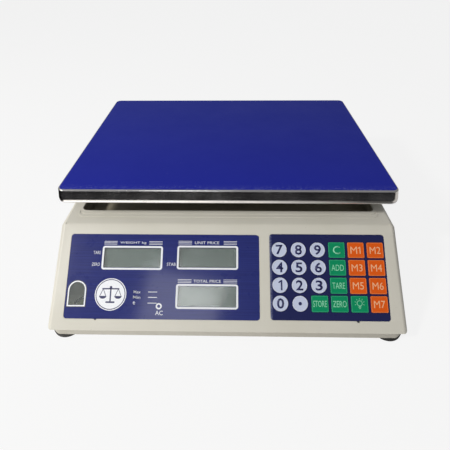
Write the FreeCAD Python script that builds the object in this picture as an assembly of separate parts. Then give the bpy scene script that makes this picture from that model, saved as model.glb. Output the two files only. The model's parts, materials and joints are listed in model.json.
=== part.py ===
import FreeCAD, Part
import math
import os

# A bench-top price computing scale: a sloping-fronted plastic housing carries the
# displays and the keypad, and a steel tray sits on a load cell above its deck.
# All sizes are in millimetres. The frame is +X right, +Y to the back, +Z up, with
# the origin on the table under the middle of the whole scale.

Vec = FreeCAD.Vector

# Overall sizes
overall_depth = 333.3  # front edge of the housing to back edge of the tray
overall_height = 112.0  # table to the film on the tray
housing_width = 350.0  # housing at its widest, along the foot of the sloping face
tray_width = 345.0
tray_depth = 240.0

# Housing shell
deck_z = 77.0  # level top of the housing, under the tray
split_z = 14.0  # joint between the upper and lower housing
base_z = 5.0  # underside of the lower housing
face_run = 84.5  # front to back extent of the sloping face
side_draft = 2.75  # how far each side leans in between the split and the deck
rear_setback = 6.65  # foot of the rear wall, in front of the tray's back edge
rear_lean = 4.0  # how far the rear wall leans forward up to the deck
wall = 2.5
edge_round = 5.5  # rounding of the housing's outer edges
base_lean = 1.0  # how far the lower housing's band leans in to its underside
base_corner_radius = 16.0
crease_groove_width = 1.5
crease_groove_depth = 0.6
crease_groove_setback = 0.6  # front edge of the groove, behind the crease

# Well under the tray
well_front_gap = 22.5  # crease to the front edge of the well
well_side_gap = 14.6  # side of the deck to the end of the well
well_back_gap = 18.0  # back of the well to the back of the deck
well_depth = 16.0
well_radius = 6.0
outer_bead_gap = 12.0  # crease to the outer bead
outer_bead_width = 3.0
inner_bead_gap = 17.2  # crease to the inner bead, which ends at the well
bead_side_step = 1.1  # step between the beads at the ends of the well
bead_height = 0.4

# Tray and film
tray_sheet = 0.8
tray_lip = 14.5  # height of the tray's rim, below the film
tray_hem = 2.6  # upright band at the foot of the rim
tray_flare = 2.2  # how far the rim leans out below its top edge
tray_corner_radius = 9.0
tray_top_round = 1.7
film_thickness = 0.2
film_inset = 4.0  # edge of the film, in from the tray's widest outline
film_corner_radius = 4.0

# Fits
slide_gap = 0.3  # around a key, a door or a shell part in its opening
lay_in_gap = 0.25  # around a film or a window laid in its recess
screw_gap = 0.05  # radial, screw in its threaded hole
hole_gap = 0.3  # radial, screw in a clearance hole
rest_gap = 0.1  # between faces that nearly touch at rest

# Face panels, in the plane of the sloping face
panel_recess = 0.6
panel_thickness = 0.5
panel_radius = 3.0
display_width = 192.0
display_height = 84.0
display_side_margin = 16.0
display_top_margin = 10.5
keypad_width = 115.0
keypad_height = 84.5
keypad_side_margin = 16.4
keypad_top_margin = 9.5

# Display windows, measured from the upper left corner of the display panel
lcd_window_width = 58.0
lcd_window_height = 19.8
lcd_window_places = [(63.9, 24.1), (140.1, 23.4), (140.2, 61.8)]
lcd_border = 3.0  # display module beyond its window
lcd_thickness = 4.3
arch_width = 15.4
arch_height = 22.4
arch_place = (11.0, 59.9)
board_thickness = 1.6
post_radius = 2.6
post_inset = 0.5  # post from the edges of its board

# Keys
key_columns = 6
key_rows = 4
key_pitch_u = 19.14
key_pitch_v = 17.6
round_key_diameter = 14.9
square_key_width = 16.2
square_key_height = 15.6
square_key_radius = 1.2
key_rise = 0.45  # key top above the surface of the face
key_rim = 0.9
key_dish = 0.18
key_edge_round = 0.3
key_flange = 0.7
key_flange_thickness = 0.8
key_travel = 0.5
tact_switch_width = 6.0
tact_switch_height = 1.6
key_names = [
    ["7", "8", "9", "clear", "m1", "m2"],
    ["4", "5", "6", "add", "m3", "m4"],
    ["1", "2", "3", "tare", "m5", "m6"],
    ["0", "point", "store", "zero", "light", "m7"],
]
round_keys = ["0", "1", "2", "3", "4", "5", "6", "7", "8", "9", "point"]

# Rear display
rear_panel_width = 226.0
rear_panel_height = 44.0
rear_panel_drop = 32.0  # middle of the panel below the deck, along the rear wall
rear_window_pitch = 68.0

# Load cell and platform
cell_length = 130.0
cell_width = 30.0
cell_height = 22.0
cell_seat = 40.0  # clamped length at each end
cell_bore = 13.0
cell_bore_spacing = 34.0
cell_slot = 4.0
cell_spacer_height = 8.0
cell_screw_radius = 3.0
cell_screw_head = 5.0
cell_screw_head_height = 6.0
cell_screw_depth = 12.0
cell_screw_pitch = 20.0
chassis_length = 160.0
chassis_width = 76.0
chassis_thickness = 3.0
chassis_z = 13.0
chassis_radius = 6.0
chassis_screw_inset = 8.0
chassis_screw_length = 7.0
chassis_screw_head_height = 2.2
chassis_boss_radius = 5.0
chassis_window = (60.0, 18.0, 5.0)  # length, width and corner radius
chassis_window_offset = 20.0
bracket_hub_length = 150.0
bracket_hub_width = 60.0
bracket_hub_height = 12.0
bracket_hub_z = 84.0
bracket_web = 4.0
bracket_arm_width = 12.0
bracket_arm_height = 12.0
bracket_hub_radius = 10.0
bracket_boss_radius = 10.0
bracket_counterbore = 8.0  # seat of the top screws, above the load cell
pad_spread_x = 250.0
pad_spread_y = 160.0
pad_radius = 8.0
pad_height = 6.0
pad_seat_depth = 1.0
pad_edge_round = 0.6
well_port_gap = 9.0  # around the bracket's pedestal in the well floor
well_collar = 2.0
well_collar_height = 5.0
stop_gap = 0.7  # overload stop below the free end of the load cell
stop_pitch = 16.0
stop_nut_radius = 5.6
stop_nut_height = 5.0

# Feet
foot_radius = 14.0
foot_height = 4.8
foot_edge_round = 0.8
foot_edge_gap = 0.1  # foot inside the outline of the housing
foot_stud_radius = 3.0
foot_stud_top = 15.0
foot_boss_radius = 5.5
foot_boss_top = 11.5
foot_stud_room = 1.5  # round the stud's top, inside the upper housing
rear_foot_gap = 2.0

# Shell screws
housing_screw_radius = 1.5
housing_screw_head = 2.9
housing_screw_head_height = 2.0
housing_screw_recess = 4.0
housing_screw_bite = 9.0
housing_post_radius = 3.6
housing_boss_radius = 5.0
housing_seam_z = 12.0  # where posts meet bosses
front_screw_inset = (47.5, 9.2)  # from the side and from the front edge
middle_screw_inset = (16.5, 41.35)  # from the side and in front of the inlet
rear_screw_inset = (38.5, 12.5)  # from the side and from the rear wall
tab_half_length = 10.0
tab_thickness = 1.8
tab_rise = 4.0  # locating tab above the split

# Battery, transformer, main board
battery_length = 100.0
battery_width = 70.0
battery_height = 47.0
battery_ledge = 3.0
battery_play = 1.0
battery_door_thickness = 2.0
battery_shelf_z = 9.0
battery_side_gap = 22.5  # side wall to the battery
battery_front_gap = 4.0  # crease to the battery
battery_frame_height = 8.0
battery_lid = 3.0
battery_terminal = (0.8, 4.8, 2.0)
battery_terminal_inset = 12.0
door_rib_width = 1.2
door_rib_pitch = 3.0
transformer_length = 46.0
transformer_width = 40.0
transformer_height = 36.0
transformer_foot = 10.0
transformer_foot_size = (14.0, 1.5)
transformer_core = 16.0
transformer_window = (8.0, 5.0)  # bobbin inside the core, from its ends and its base
transformer_side_gap = 57.5
transformer_setback = 52.0  # behind the crease
main_board_length = 120.0
main_board_width = 46.0
main_board_z = 14.0
main_board_side_gap = 92.0
main_board_back_gap = 20.0
main_board_screw_inset = 6.0
main_board_boss_radius = 3.0
main_board_blocks = [(-40, 8, 14, 14, 9), (-10, 0, 24, 14, 4), (22, 6, 18, 18, 3), (44, -8, 10, 24, 11)]
main_board_cans = [(-26, -14, 3.5, 12), (-18, -14, 3.5, 12)]

# Level vial
vial_radius = 15.0
vial_height = 3.8
vial_seat_z = 12.2
vial_seat_radius = 8.0
vial_offset_u = 4.6  # right of the arch window's middle
vial_setback = 58.9  # in front of the crease
vial_rim = 1.6
vial_recess = 1.0
vial_edge_round = 0.5
vial_lens = (8.0, 20.0)  # radius of the glass, and of its crown
vial_crown_drop = 0.4  # top of the glass below the rim

# Switch and inlet, on the right side wall
fitting_recess = 1.5  # seat of the bezels, below the surface of the wall
fitting_frame = 3.0  # thick patch of wall round each bezel
fitting_patch = 5.0  # depth of that patch
switch_place = (-28.0, -38.0)  # along the wall to the back, and down from the deck
switch_bezel = (21.0, 15.0, 1.6)
switch_case = (18.8, 12.8, 15.0)
switch_pocket = (17.4, 11.0, 4.0)
rocker_width = 10.6
rocker_half_length = 8.2
rocker_tilt = 10.0
inlet_place = (62.0, -36.0)
inlet_bezel = (31.0, 24.0, 2.0)
inlet_case = (27.0, 19.8, 22.0)
inlet_socket = (24.6, 16.6, 16.0)
inlet_socket_chamfer = 4.0
inlet_pin = (2.0, 4.0, 12.0)
inlet_pin_spacing = 14.0
inlet_earth_rise = 3.5

# Places that follow from the sizes above
front_y = -overall_depth / 2
tray_back_y = overall_depth / 2
tray_y = tray_back_y - tray_depth / 2
crease_y = front_y + face_run
rear_low_y = tray_back_y - rear_setback
rear_top_y = rear_low_y - rear_lean
side_x = housing_width / 2
deck_x = side_x - side_draft
rise = deck_z - split_z
slope = math.atan2(rise, face_run)
rear_slope = math.atan2(rear_lean, rise)
side_slope = math.atan2(side_draft, rise)
well_x = deck_x - well_side_gap
well_front_y = crease_y + well_front_gap
well_back_y = rear_top_y - well_back_gap
well_floor_z = deck_z - well_depth
floor_z = base_z + wall
tray_top_z = overall_height - film_thickness
pad_top_z = tray_top_z - tray_sheet
cell_z = chassis_z + chassis_thickness + cell_spacer_height
cell_top_z = cell_z + cell_height
cell_seat_x = (cell_length - cell_seat) / 2
display_left = -side_x + display_side_margin
keypad_left = side_x - keypad_side_margin - keypad_width
panel_floor = -panel_recess
panel_top = panel_floor + panel_thickness
board_top = -wall - rest_gap - lcd_thickness
far = 2 * (overall_depth + housing_width)

# A shape drawn with x to the right, y up the wall and z out of it is set on a wall
# by one of these three placements, whose origins are at the wall's upper edge.
face_place = FreeCAD.Placement(
    Vec(0, crease_y, deck_z), FreeCAD.Rotation(Vec(1, 0, 0), math.degrees(slope))
)
rear_place = FreeCAD.Placement(
    Vec(0, rear_top_y, deck_z),
    FreeCAD.Rotation(
        Vec(-1, 0, 0),
        Vec(0, -math.sin(rear_slope), math.cos(rear_slope)),
        Vec(0, math.cos(rear_slope), math.sin(rear_slope)),
        "XYZ",
    ),
)
side_place = FreeCAD.Placement(
    Vec(deck_x, 0, deck_z),
    FreeCAD.Rotation(
        Vec(0, 1, 0),
        Vec(-math.sin(side_slope), 0, math.cos(side_slope)),
        Vec(math.cos(side_slope), 0, math.sin(side_slope)),
        "XYZ",
    ),
)

# The switch and the inlet stand on a seat sunk into the side wall.
seat_place = side_place.multiply(
    FreeCAD.Placement(Vec(0, 0, -fitting_recess), FreeCAD.Rotation())
)

parts = {}


def box(x0, x1, y0, y1, z0, z1):
    return Part.makeBox(x1 - x0, y1 - y0, z1 - z0, Vec(x0, y0, z0))


def centred_box(x, y, size_x, size_y, z0, z1):
    return box(x - size_x / 2, x + size_x / 2, y - size_y / 2, y + size_y / 2, z0, z1)


def rod(x, y, radius, z0, z1):
    return Part.makeCylinder(radius, z1 - z0, Vec(x, y, z0))


def rounded_outline(x, y, size_x, size_y, radius, z):
    # A closed outline of four straight sides joined by quarter circles.
    half_x = size_x / 2 - radius
    half_y = size_y / 2 - radius
    edges = []
    for turn in range(4):
        middle = math.radians(45 + 90 * turn)
        sign_x = 1 if math.cos(middle) > 0 else -1
        sign_y = 1 if math.sin(middle) > 0 else -1
        centre = Vec(x + sign_x * half_x, y + sign_y * half_y, z)
        points = []
        for step in range(3):
            angle = math.radians(90 * turn + 45 * step)
            points.append(centre + Vec(radius * math.cos(angle), radius * math.sin(angle), 0))
        edges.append(Part.Arc(*points).toShape())
    sides = []
    for turn in range(4):
        start = edges[turn].Vertexes[-1].Point
        end = edges[(turn + 1) % 4].Vertexes[0].Point
        sides.append(edges[turn])
        sides.append(Part.LineSegment(start, end).toShape())
    return Part.Wire(sides)


def rounded_slab(x, y, size_x, size_y, radius, z0, z1):
    face = Part.Face(rounded_outline(x, y, size_x, size_y, radius, z0))
    return face.extrude(Vec(0, 0, z1 - z0))


def rounded_taper(x, y, low_size, high_size, low_radius, high_radius, z0, z1):
    low = rounded_outline(x, y, low_size[0], low_size[1], low_radius, z0)
    high = rounded_outline(x, y, high_size[0], high_size[1], high_radius, z1)
    return Part.makeLoft([low, high], True, True)


def joined(shapes):
    result = shapes[0]
    if len(shapes) > 1:
        result = result.fuse(shapes[1:])
    return result.removeSplitter()


def cut_all(shape, tools):
    return shape.cut(Part.makeCompound(tools)).removeSplitter()


def set_on(placement, shape):
    placed = shape.copy()
    placed.Placement = placement.multiply(placed.Placement)
    return placed


def top_edges(shape, z):
    picked = []
    for edge in shape.Edges:
        if abs(edge.BoundBox.ZMin - z) < 1e-4 and abs(edge.BoundBox.ZMax - z) < 1e-4:
            picked.append(edge)
    return picked


def add(node, shape):
    parts[node] = shape


# Housing ---------------------------------------------------------------------


def run_on(at_split, at_deck, depth):
    # Where a wall that leans between those two places ends up at that depth below the split.
    return at_split + (at_split - at_deck) * depth / rise


def housing_block(inset):
    # The upper housing as one block, or the space inside it when inset by the wall.
    # It runs on below the split so that the cut there is clean.
    below = 3 * wall + 4.0
    low_z = split_z - below
    side_points = [
        Vec(0, run_on(front_y, crease_y, below), low_z),
        Vec(0, crease_y, deck_z),
        Vec(0, rear_top_y, deck_z),
        Vec(0, run_on(rear_low_y, rear_top_y, below), low_z),
    ]
    low_x = run_on(side_x, deck_x, below)
    front_points = [
        Vec(-low_x, 0, low_z),
        Vec(-deck_x, 0, deck_z),
        Vec(deck_x, 0, deck_z),
        Vec(low_x, 0, low_z),
    ]
    side_face = Part.Face(Part.makePolygon(side_points + side_points[:1]))
    front_face = Part.Face(Part.makePolygon(front_points + front_points[:1]))
    if inset > 0:
        side_face = side_face.makeOffset2D(-inset)
        front_face = front_face.makeOffset2D(-inset)
    side_face.translate(Vec(-far / 2, 0, 0))
    front_face.translate(Vec(0, -far / 2, 0))
    block = side_face.extrude(Vec(far, 0, 0)).common(front_face.extrude(Vec(0, far, 0)))
    bottom = block.BoundBox.ZMin
    rear_line = rear_top_y - inset * 2
    picked = []
    for edge in block.Edges:
        bounds = edge.BoundBox
        along_x = bounds.XLength > housing_width / 2
        at_bottom = bounds.ZMax < bottom + 0.01
        at_rear_top = along_x and bounds.YMin > rear_line - 2 and not at_bottom
        if at_rear_top or (not along_x and not at_bottom):
            picked.append(edge)
    return block.makeFillet(edge_round - inset, picked)


def between(shape, z0, z1):
    return shape.common(box(-far, far, -far, far, z0, z1))


outer_block = housing_block(0)
inner_block = housing_block(wall)


def ring_on_deck(gap, width, side_step_out, side_step_in):
    # A raised bead round the well, as the space between two rounded outlines.
    def slab(front_gap, side_out):
        low_y = crease_y + front_gap
        high_y = well_back_y + side_out
        middle = (low_y + high_y) / 2
        size_x = 2 * (well_x + side_out)
        return rounded_slab(
            0, middle, size_x, high_y - low_y, well_radius + side_out, deck_z - 1, deck_z + bead_height
        )

    return slab(gap, side_step_out).cut(slab(gap + width, side_step_in))


def well_space(extra, z0, z1):
    size_y = well_back_y - well_front_y + 2 * extra
    middle = (well_back_y + well_front_y) / 2
    return rounded_slab(0, middle, 2 * (well_x + extra), size_y, well_radius + extra, z0, z1)


def lcd_windows(left, top, places, grow, z0, z1):
    solids = []
    for place_u, place_v in places:
        u = left + place_u
        v = top + place_v
        width = lcd_window_width + 2 * grow
        height = lcd_window_height + 2 * grow
        solids.append(centred_box(u, -v, width, height, z0, z1))
    return solids


def arch_solid(grow, z0, z1):
    # Round-topped window in the display panel, over the level vial.
    u = display_left + arch_place[0]
    v = display_top_margin + arch_place[1]
    half = arch_width / 2 + grow
    spring = -v + arch_height / 2 - arch_width / 2
    foot = -v - arch_height / 2 - grow
    block = box(u - half, u + half, foot, spring, z0, z1)
    return joined([block, rod(u, spring, half, z0, z1)])


def key_centre(row, column):
    u = keypad_left + keypad_width / 2 + (column - (key_columns - 1) / 2) * key_pitch_u
    v = keypad_top_margin + keypad_height / 2 + (row - (key_rows - 1) / 2) * key_pitch_v
    return u, -v


def key_solid(name, row, column, grow, z0, z1):
    x, y = key_centre(row, column)
    if name in round_keys:
        return rod(x, y, round_key_diameter / 2 + grow, z0, z1)
    size_x = square_key_width + 2 * grow
    size_y = square_key_height + 2 * grow
    return rounded_slab(x, y, size_x, size_y, square_key_radius + grow, z0, z1)


def all_keys():
    for row, names in enumerate(key_names):
        for column, name in enumerate(names):
            yield name, row, column


def panel_slab(left, top, width, height, radius, grow, z0, z1):
    x = left + width / 2
    y = -top - height / 2
    return rounded_slab(x, y, width + 2 * grow, height + 2 * grow, radius + grow, z0, z1)


def board_posts(left, right, top, bottom, z0, z1, radius):
    solids = []
    inset = radius + post_inset
    for x in (left + inset, right - inset):
        for y in (-top - inset, -bottom + inset):
            solids.append(rod(x, y, radius, z0, z1))
    return solids


display_board_left = display_left + lcd_window_places[0][0] - lcd_window_width / 2 - 12.0
display_board_right = display_left + lcd_window_places[1][0] + lcd_window_width / 2 + 10.0
display_board_top = display_top_margin + 2.0
display_board_bottom = display_top_margin + display_height - 6.0
keypad_board_z = -wall - 2 * rest_gap - key_flange_thickness - key_travel - tact_switch_height
keypad_board_left = keypad_left + 1.0
keypad_board_right = keypad_left + keypad_width - 1.0
keypad_board_top = keypad_top_margin + 0.5
keypad_board_bottom = keypad_top_margin + keypad_height - 1.6
rear_half = rear_panel_width / 2
rear_board_left = -rear_half + 8
rear_board_right = rear_half - 8
rear_top = rear_panel_drop - rear_panel_height / 2
rear_window_places = []
for index in range(3):
    rear_window_places.append((rear_half + (index - 1) * rear_window_pitch, rear_panel_height / 2))

screw_spots = []
for sign in (-1, 1):
    screw_spots.append((sign * (side_x - front_screw_inset[0]), front_y + front_screw_inset[1]))
    screw_spots.append((sign * (side_x - middle_screw_inset[0]), inlet_place[0] - middle_screw_inset[1]))
    screw_spots.append((sign * (side_x - rear_screw_inset[0]), rear_low_y - rear_screw_inset[1]))

foot_x = side_x - foot_radius - foot_edge_gap
foot_front_y = front_y + foot_radius + foot_edge_gap
foot_rear_y = rear_low_y - foot_radius - rear_foot_gap
foot_spots = {
    "front_left": (-foot_x, foot_front_y),
    "front_right": (foot_x, foot_front_y),
    "rear_left": (-foot_x, foot_rear_y),
    "rear_right": (foot_x, foot_rear_y),
}
pedestal_x0 = cell_length / 2 - cell_seat + 2
pedestal_x1 = cell_length / 2
cell_screw_spots = []
for sign in (-1, 1):
    cell_screw_spots.append((cell_seat_x + sign * cell_screw_pitch / 2, tray_y))


def make_upper_housing():
    shell = between(outer_block, split_z, far).cut(inner_block)
    beads = [
        ring_on_deck(outer_bead_gap, outer_bead_width, 2 * bead_side_step, bead_side_step),
        ring_on_deck(inner_bead_gap, well_front_gap - inner_bead_gap, bead_side_step, 0),
    ]
    liner = well_space(wall, well_floor_z - wall, deck_z - wall / 2)
    posts = []
    for x, y in screw_spots:
        post = rod(x, y, housing_post_radius, housing_seam_z, deck_z - 1)
        posts.append(post)
    face_posts = board_posts(
        display_board_left,
        display_board_right,
        display_board_top,
        display_board_bottom,
        board_top,
        -1,
        post_radius,
    )
    face_posts += board_posts(
        keypad_board_left,
        keypad_board_right,
        keypad_board_top,
        keypad_board_bottom,
        keypad_board_z,
        -1,
        post_radius,
    )
    for post in face_posts:
        posts.append(set_on(face_place, post))
    rear_posts = board_posts(
        rear_board_left,
        rear_board_right,
        rear_top + 2,
        rear_top + rear_panel_height - 2,
        board_top,
        -1,
        post_radius,
    )
    for post in rear_posts:
        posts.append(set_on(rear_place, post))
    for place, size in ((switch_place, switch_bezel), (inlet_place, inlet_bezel)):
        patch = centred_box(
            place[0],
            place[1],
            size[0] + 2 * fitting_frame,
            size[1] + 2 * fitting_frame,
            -fitting_patch,
            -wall / 2,
        )
        posts.append(set_on(side_place, patch))
    kept_posts = Part.makeCompound(posts).common(outer_block)
    solid = joined([shell, liner] + kept_posts.Solids)
    port = centred_box(
        (pedestal_x0 + pedestal_x1) / 2,
        tray_y,
        pedestal_x1 - pedestal_x0 + 2 * well_port_gap,
        cell_width + 2 * well_port_gap,
        well_floor_z - wall - 1,
        deck_z,
    )
    collar = centred_box(
        (pedestal_x0 + pedestal_x1) / 2,
        tray_y,
        pedestal_x1 - pedestal_x0 + 2 * well_port_gap + 2 * well_collar,
        cell_width + 2 * well_port_gap + 2 * well_collar,
        well_floor_z - 1,
        well_floor_z + well_collar_height,
    )
    solid = solid.fuse(beads)
    solid = solid.cut(well_space(0, well_floor_z, deck_z + 2))
    solid = solid.fuse(collar).cut(port)
    groove_y = crease_y + crease_groove_setback
    groove_x = deck_x - edge_round
    groove_back = groove_y + crease_groove_width
    tools = [box(-groove_x, groove_x, groove_y, groove_back, deck_z - crease_groove_depth, deck_z + 1)]
    face_tools = [
        panel_slab(
            display_left,
            display_top_margin,
            display_width,
            display_height,
            panel_radius,
            lay_in_gap,
            panel_floor,
            5,
        ),
        panel_slab(
            keypad_left,
            keypad_top_margin,
            keypad_width,
            keypad_height,
            panel_radius,
            lay_in_gap,
            panel_floor,
            5,
        ),
        arch_solid(1.0, -wall - 2, 1),
    ]
    face_tools += lcd_windows(display_left, display_top_margin, lcd_window_places, 1.0, -wall - 2, 1)
    for name, row, column in all_keys():
        face_tools.append(key_solid(name, row, column, slide_gap, -wall - 2, 1))
    for tool in face_tools:
        tools.append(set_on(face_place, tool))
    rear_tools = [
        panel_slab(
            -rear_half,
            rear_top,
            rear_panel_width,
            rear_panel_height,
            panel_radius,
            lay_in_gap,
            panel_floor,
            5,
        )
    ]
    rear_tools += lcd_windows(-rear_half, rear_top, rear_window_places, 1.0, -wall - 2, 1)
    for tool in rear_tools:
        tools.append(set_on(rear_place, tool))
    fittings = (
        (switch_place, switch_case, switch_bezel),
        (inlet_place, inlet_case, inlet_bezel),
    )
    for place, case, bezel in fittings:
        for size, low in ((case, -2 * fitting_patch), (bezel, 0)):
            cutout = centred_box(
                place[0], place[1], size[0] + 2 * lay_in_gap, size[1] + 2 * lay_in_gap, low, wall
            )
            tools.append(set_on(seat_place, cutout))
    screw_hole_top = housing_seam_z + housing_screw_bite
    for x, y in screw_spots:
        tools.append(rod(x, y, housing_screw_radius + screw_gap, housing_seam_z - 1, screw_hole_top))
    for x, y in foot_spots.values():
        tools.append(
            rod(x, y, foot_stud_radius + foot_stud_room, split_z - 1, foot_stud_top + foot_stud_room)
        )
    return cut_all(solid, tools)


def base_outline(inset, z0, z1):
    size_x = housing_width - 2 * inset
    size_y = rear_low_y - front_y - 2 * inset
    middle = (rear_low_y + front_y) / 2
    return rounded_slab(0, middle, size_x, size_y, base_corner_radius - inset, z0, z1)


battery_x = -side_x + battery_side_gap + battery_length / 2
battery_y = crease_y + battery_front_gap + battery_width / 2
vial_x = display_left + arch_place[0] + vial_offset_u
vial_y = crease_y - vial_setback
chassis_x = chassis_length / 2 - chassis_screw_inset
chassis_y = chassis_width / 2 - chassis_screw_inset
chassis_spots = [(i * chassis_x, tray_y + j * chassis_y) for i in (-1, 1) for j in (-1, 1)]
main_board_x = side_x - main_board_side_gap
main_board_y = rear_low_y - main_board_back_gap - main_board_width / 2
main_x = main_board_length / 2 - main_board_screw_inset
main_y = main_board_width / 2 - main_board_screw_inset
main_spots = [(main_board_x + i * main_x, main_board_y + j * main_y) for i in (-1, 1) for j in (-1, 1)]
transformer_x = side_x - transformer_side_gap
transformer_y = crease_y + transformer_setback


def make_lower_housing():
    middle = (rear_low_y + front_y) / 2
    shrink_x = (side_x - base_lean) / side_x
    half_y = (rear_low_y - front_y) / 2
    shrink_y = (half_y - base_lean) / half_y
    top_wire = outer_block.slice(Vec(0, 0, 1), split_z)[0]
    low_matrix = FreeCAD.Matrix()
    low_matrix.move(Vec(0, -middle, -split_z))
    low_matrix.scale(Vec(shrink_x, shrink_y, 1))
    low_matrix.move(Vec(0, middle, base_z))
    low_wire = top_wire.transformGeometry(low_matrix)
    outer = Part.makeLoft([low_wire, top_wire], True, True)
    outer = outer.common(base_outline(0, base_z, split_z))
    hollow = base_outline(wall + base_lean, floor_z, split_z + 1)
    solids = [outer.cut(hollow)]
    # Tabs that locate the upper housing stand just inside its walls.
    tab_x = side_x - wall - side_draft * (tab_rise + 1) / rise - slide_gap
    tab_y = rear_low_y - wall - rear_lean * (tab_rise + 1) / rise - slide_gap
    tab_top = split_z + tab_rise
    for sign in (-1, 1):
        for y in (crease_y, tray_y + tray_depth / 4):
            x = sign * (tab_x - tab_thickness / 2)
            solids.append(centred_box(x, y, tab_thickness, 2 * tab_half_length, floor_z - 1, tab_top))
            root = side_x - wall - tab_x + tab_thickness
            x = sign * (side_x - wall - root / 2)
            solids.append(centred_box(x, y, root, 2 * tab_half_length, floor_z - 1, split_z))
        x0 = sign * housing_width / 6 - tab_half_length
        x1 = x0 + 2 * tab_half_length
        solids.append(box(x0, x1, tab_y - tab_thickness, tab_y, floor_z - 1, tab_top))
        solids.append(box(x0, x1, tab_y - tab_thickness, rear_low_y - wall, floor_z - 1, split_z))
    for x, y in screw_spots:
        solids.append(rod(x, y, housing_boss_radius, floor_z - 1, housing_seam_z))
    for x, y in foot_spots.values():
        solids.append(rod(x, y, foot_boss_radius, floor_z - 1, foot_boss_top))
    for x, y in chassis_spots:
        solids.append(rod(x, y, chassis_boss_radius, floor_z - 1, chassis_z))
    for x, y in main_spots:
        solids.append(rod(x, y, main_board_boss_radius, floor_z - 1, main_board_z))
    solids.append(rod(vial_x, vial_y, vial_seat_radius, floor_z - 1, vial_seat_z))
    frame_x = battery_length + 2 * battery_play + 2 * battery_ledge
    frame_y = battery_width + 2 * battery_play + 2 * battery_ledge
    frame_top = battery_shelf_z + battery_frame_height
    solids.append(centred_box(battery_x, battery_y, frame_x, frame_y, floor_z - 1, frame_top))
    solid = joined(solids)
    inside = between(inner_block, base_z, far).fuse(base_outline(0, base_z - 1, split_z))
    solid = solid.common(inside)
    tools = [
        centred_box(
            battery_x,
            battery_y,
            battery_length + 2 * battery_play,
            battery_width + 2 * battery_play,
            battery_shelf_z,
            far,
        ),
        centred_box(
            battery_x,
            battery_y,
            battery_length - 2 * battery_ledge,
            battery_width - 2 * battery_ledge,
            base_z - 1,
            far,
        ),
        centred_box(
            battery_x,
            battery_y,
            battery_length + 2 * slide_gap,
            battery_width + 2 * slide_gap,
            base_z - 1,
            base_z + battery_door_thickness,
        ),
    ]
    for x, y in screw_spots:
        tools.append(rod(x, y, housing_screw_radius + hole_gap, base_z - 1, far))
        tools.append(rod(x, y, housing_screw_head + hole_gap, base_z - 1, base_z + housing_screw_recess))
    for x, y in foot_spots.values():
        tools.append(rod(x, y, foot_stud_radius + screw_gap, base_z - 1, far))
    screw_tip_z = chassis_z + chassis_thickness - chassis_screw_length
    for x, y in chassis_spots:
        tools.append(rod(x, y, housing_screw_radius + screw_gap, screw_tip_z - 0.5, far))
    return cut_all(solid, tools)


add("upper_housing", make_upper_housing())
add("lower_housing", make_lower_housing())


# Tray and film ---------------------------------------------------------------


def tray_form(inset, z_low, z_top):
    flare_top = z_top - tray_top_round - 0.6
    hem_top = overall_height - tray_lip + tray_hem
    width = tray_width - 2 * inset
    depth = tray_depth - 2 * inset
    radius = tray_corner_radius - inset
    top_radius = radius - tray_flare
    hem = rounded_slab(0, tray_y, width, depth, radius, z_low, hem_top)
    low_size = (width, depth)
    high_size = (width - 2 * tray_flare, depth - 2 * tray_flare)
    rim = rounded_taper(0, tray_y, low_size, high_size, radius, top_radius, hem_top, flare_top)
    crown = rounded_slab(0, tray_y, high_size[0], high_size[1], top_radius, flare_top, z_top)
    crown = crown.makeFillet(tray_top_round - inset, top_edges(crown, z_top))
    return joined([hem, rim, crown])


def make_tray():
    low_z = overall_height - tray_lip
    return tray_form(0, low_z, tray_top_z).cut(tray_form(tray_sheet, low_z - 1, pad_top_z))


add("tray", make_tray())
add(
    "tray_film",
    rounded_slab(
        0,
        tray_y,
        tray_width - 2 * film_inset,
        tray_depth - 2 * film_inset,
        film_corner_radius,
        tray_top_z,
        overall_height,
    ),
)


# Platform bracket, load cell and chassis ------------------------------------

pad_spots = [
    (i * pad_spread_x / 2, tray_y + j * pad_spread_y / 2) for i in (-1, 1) for j in (-1, 1)
]
pad_seat_z = pad_top_z - pad_height


def make_platform_bracket():
    hub_top = bracket_hub_z + bracket_hub_height
    hub = rounded_slab(
        0, tray_y, bracket_hub_length, bracket_hub_width, bracket_hub_radius, bracket_hub_z, hub_top
    )
    pocket = rounded_slab(
        0,
        tray_y,
        bracket_hub_length - 2 * bracket_web,
        bracket_hub_width - 2 * bracket_web,
        bracket_hub_radius - bracket_web,
        bracket_hub_z - 1,
        hub_top - bracket_web,
    )
    pedestal = box(
        pedestal_x0,
        pedestal_x1,
        tray_y - cell_width / 2,
        tray_y + cell_width / 2,
        cell_top_z,
        hub_top - 1,
    )
    solids = [hub.cut(pocket), pedestal]
    for x, y in pad_spots:
        reach = Vec(x, y - tray_y, 0)
        angle = math.degrees(math.atan2(reach.y, reach.x))
        start = bracket_hub_width / 2 - 4
        arm = box(
            start,
            reach.Length,
            -bracket_arm_width / 2,
            bracket_arm_width / 2,
            hub_top - bracket_web,
            hub_top - bracket_web + bracket_arm_height,
        )
        arm.rotate(Vec(0, 0, 0), Vec(0, 0, 1), angle)
        arm.translate(Vec(0, tray_y, 0))
        solids.append(arm)
        solids.append(rod(x, y, bracket_boss_radius, hub_top - bracket_web, pad_seat_z + pad_seat_depth))
    rib = centred_box(0, tray_y, bracket_hub_length - 2, bracket_web, bracket_hub_z, hub_top - 1)
    solids.append(rib)
    tools = []
    for x, y in pad_spots:
        tools.append(rod(x, y, pad_radius + rest_gap, pad_seat_z, far))
    for x, y in cell_screw_spots:
        tools.append(rod(x, y, cell_screw_radius + hole_gap, cell_top_z - 1, far))
        tools.append(rod(x, y, 2 * cell_screw_radius, cell_top_z + bracket_counterbore, far))
    return cut_all(joined(solids), tools)


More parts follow.
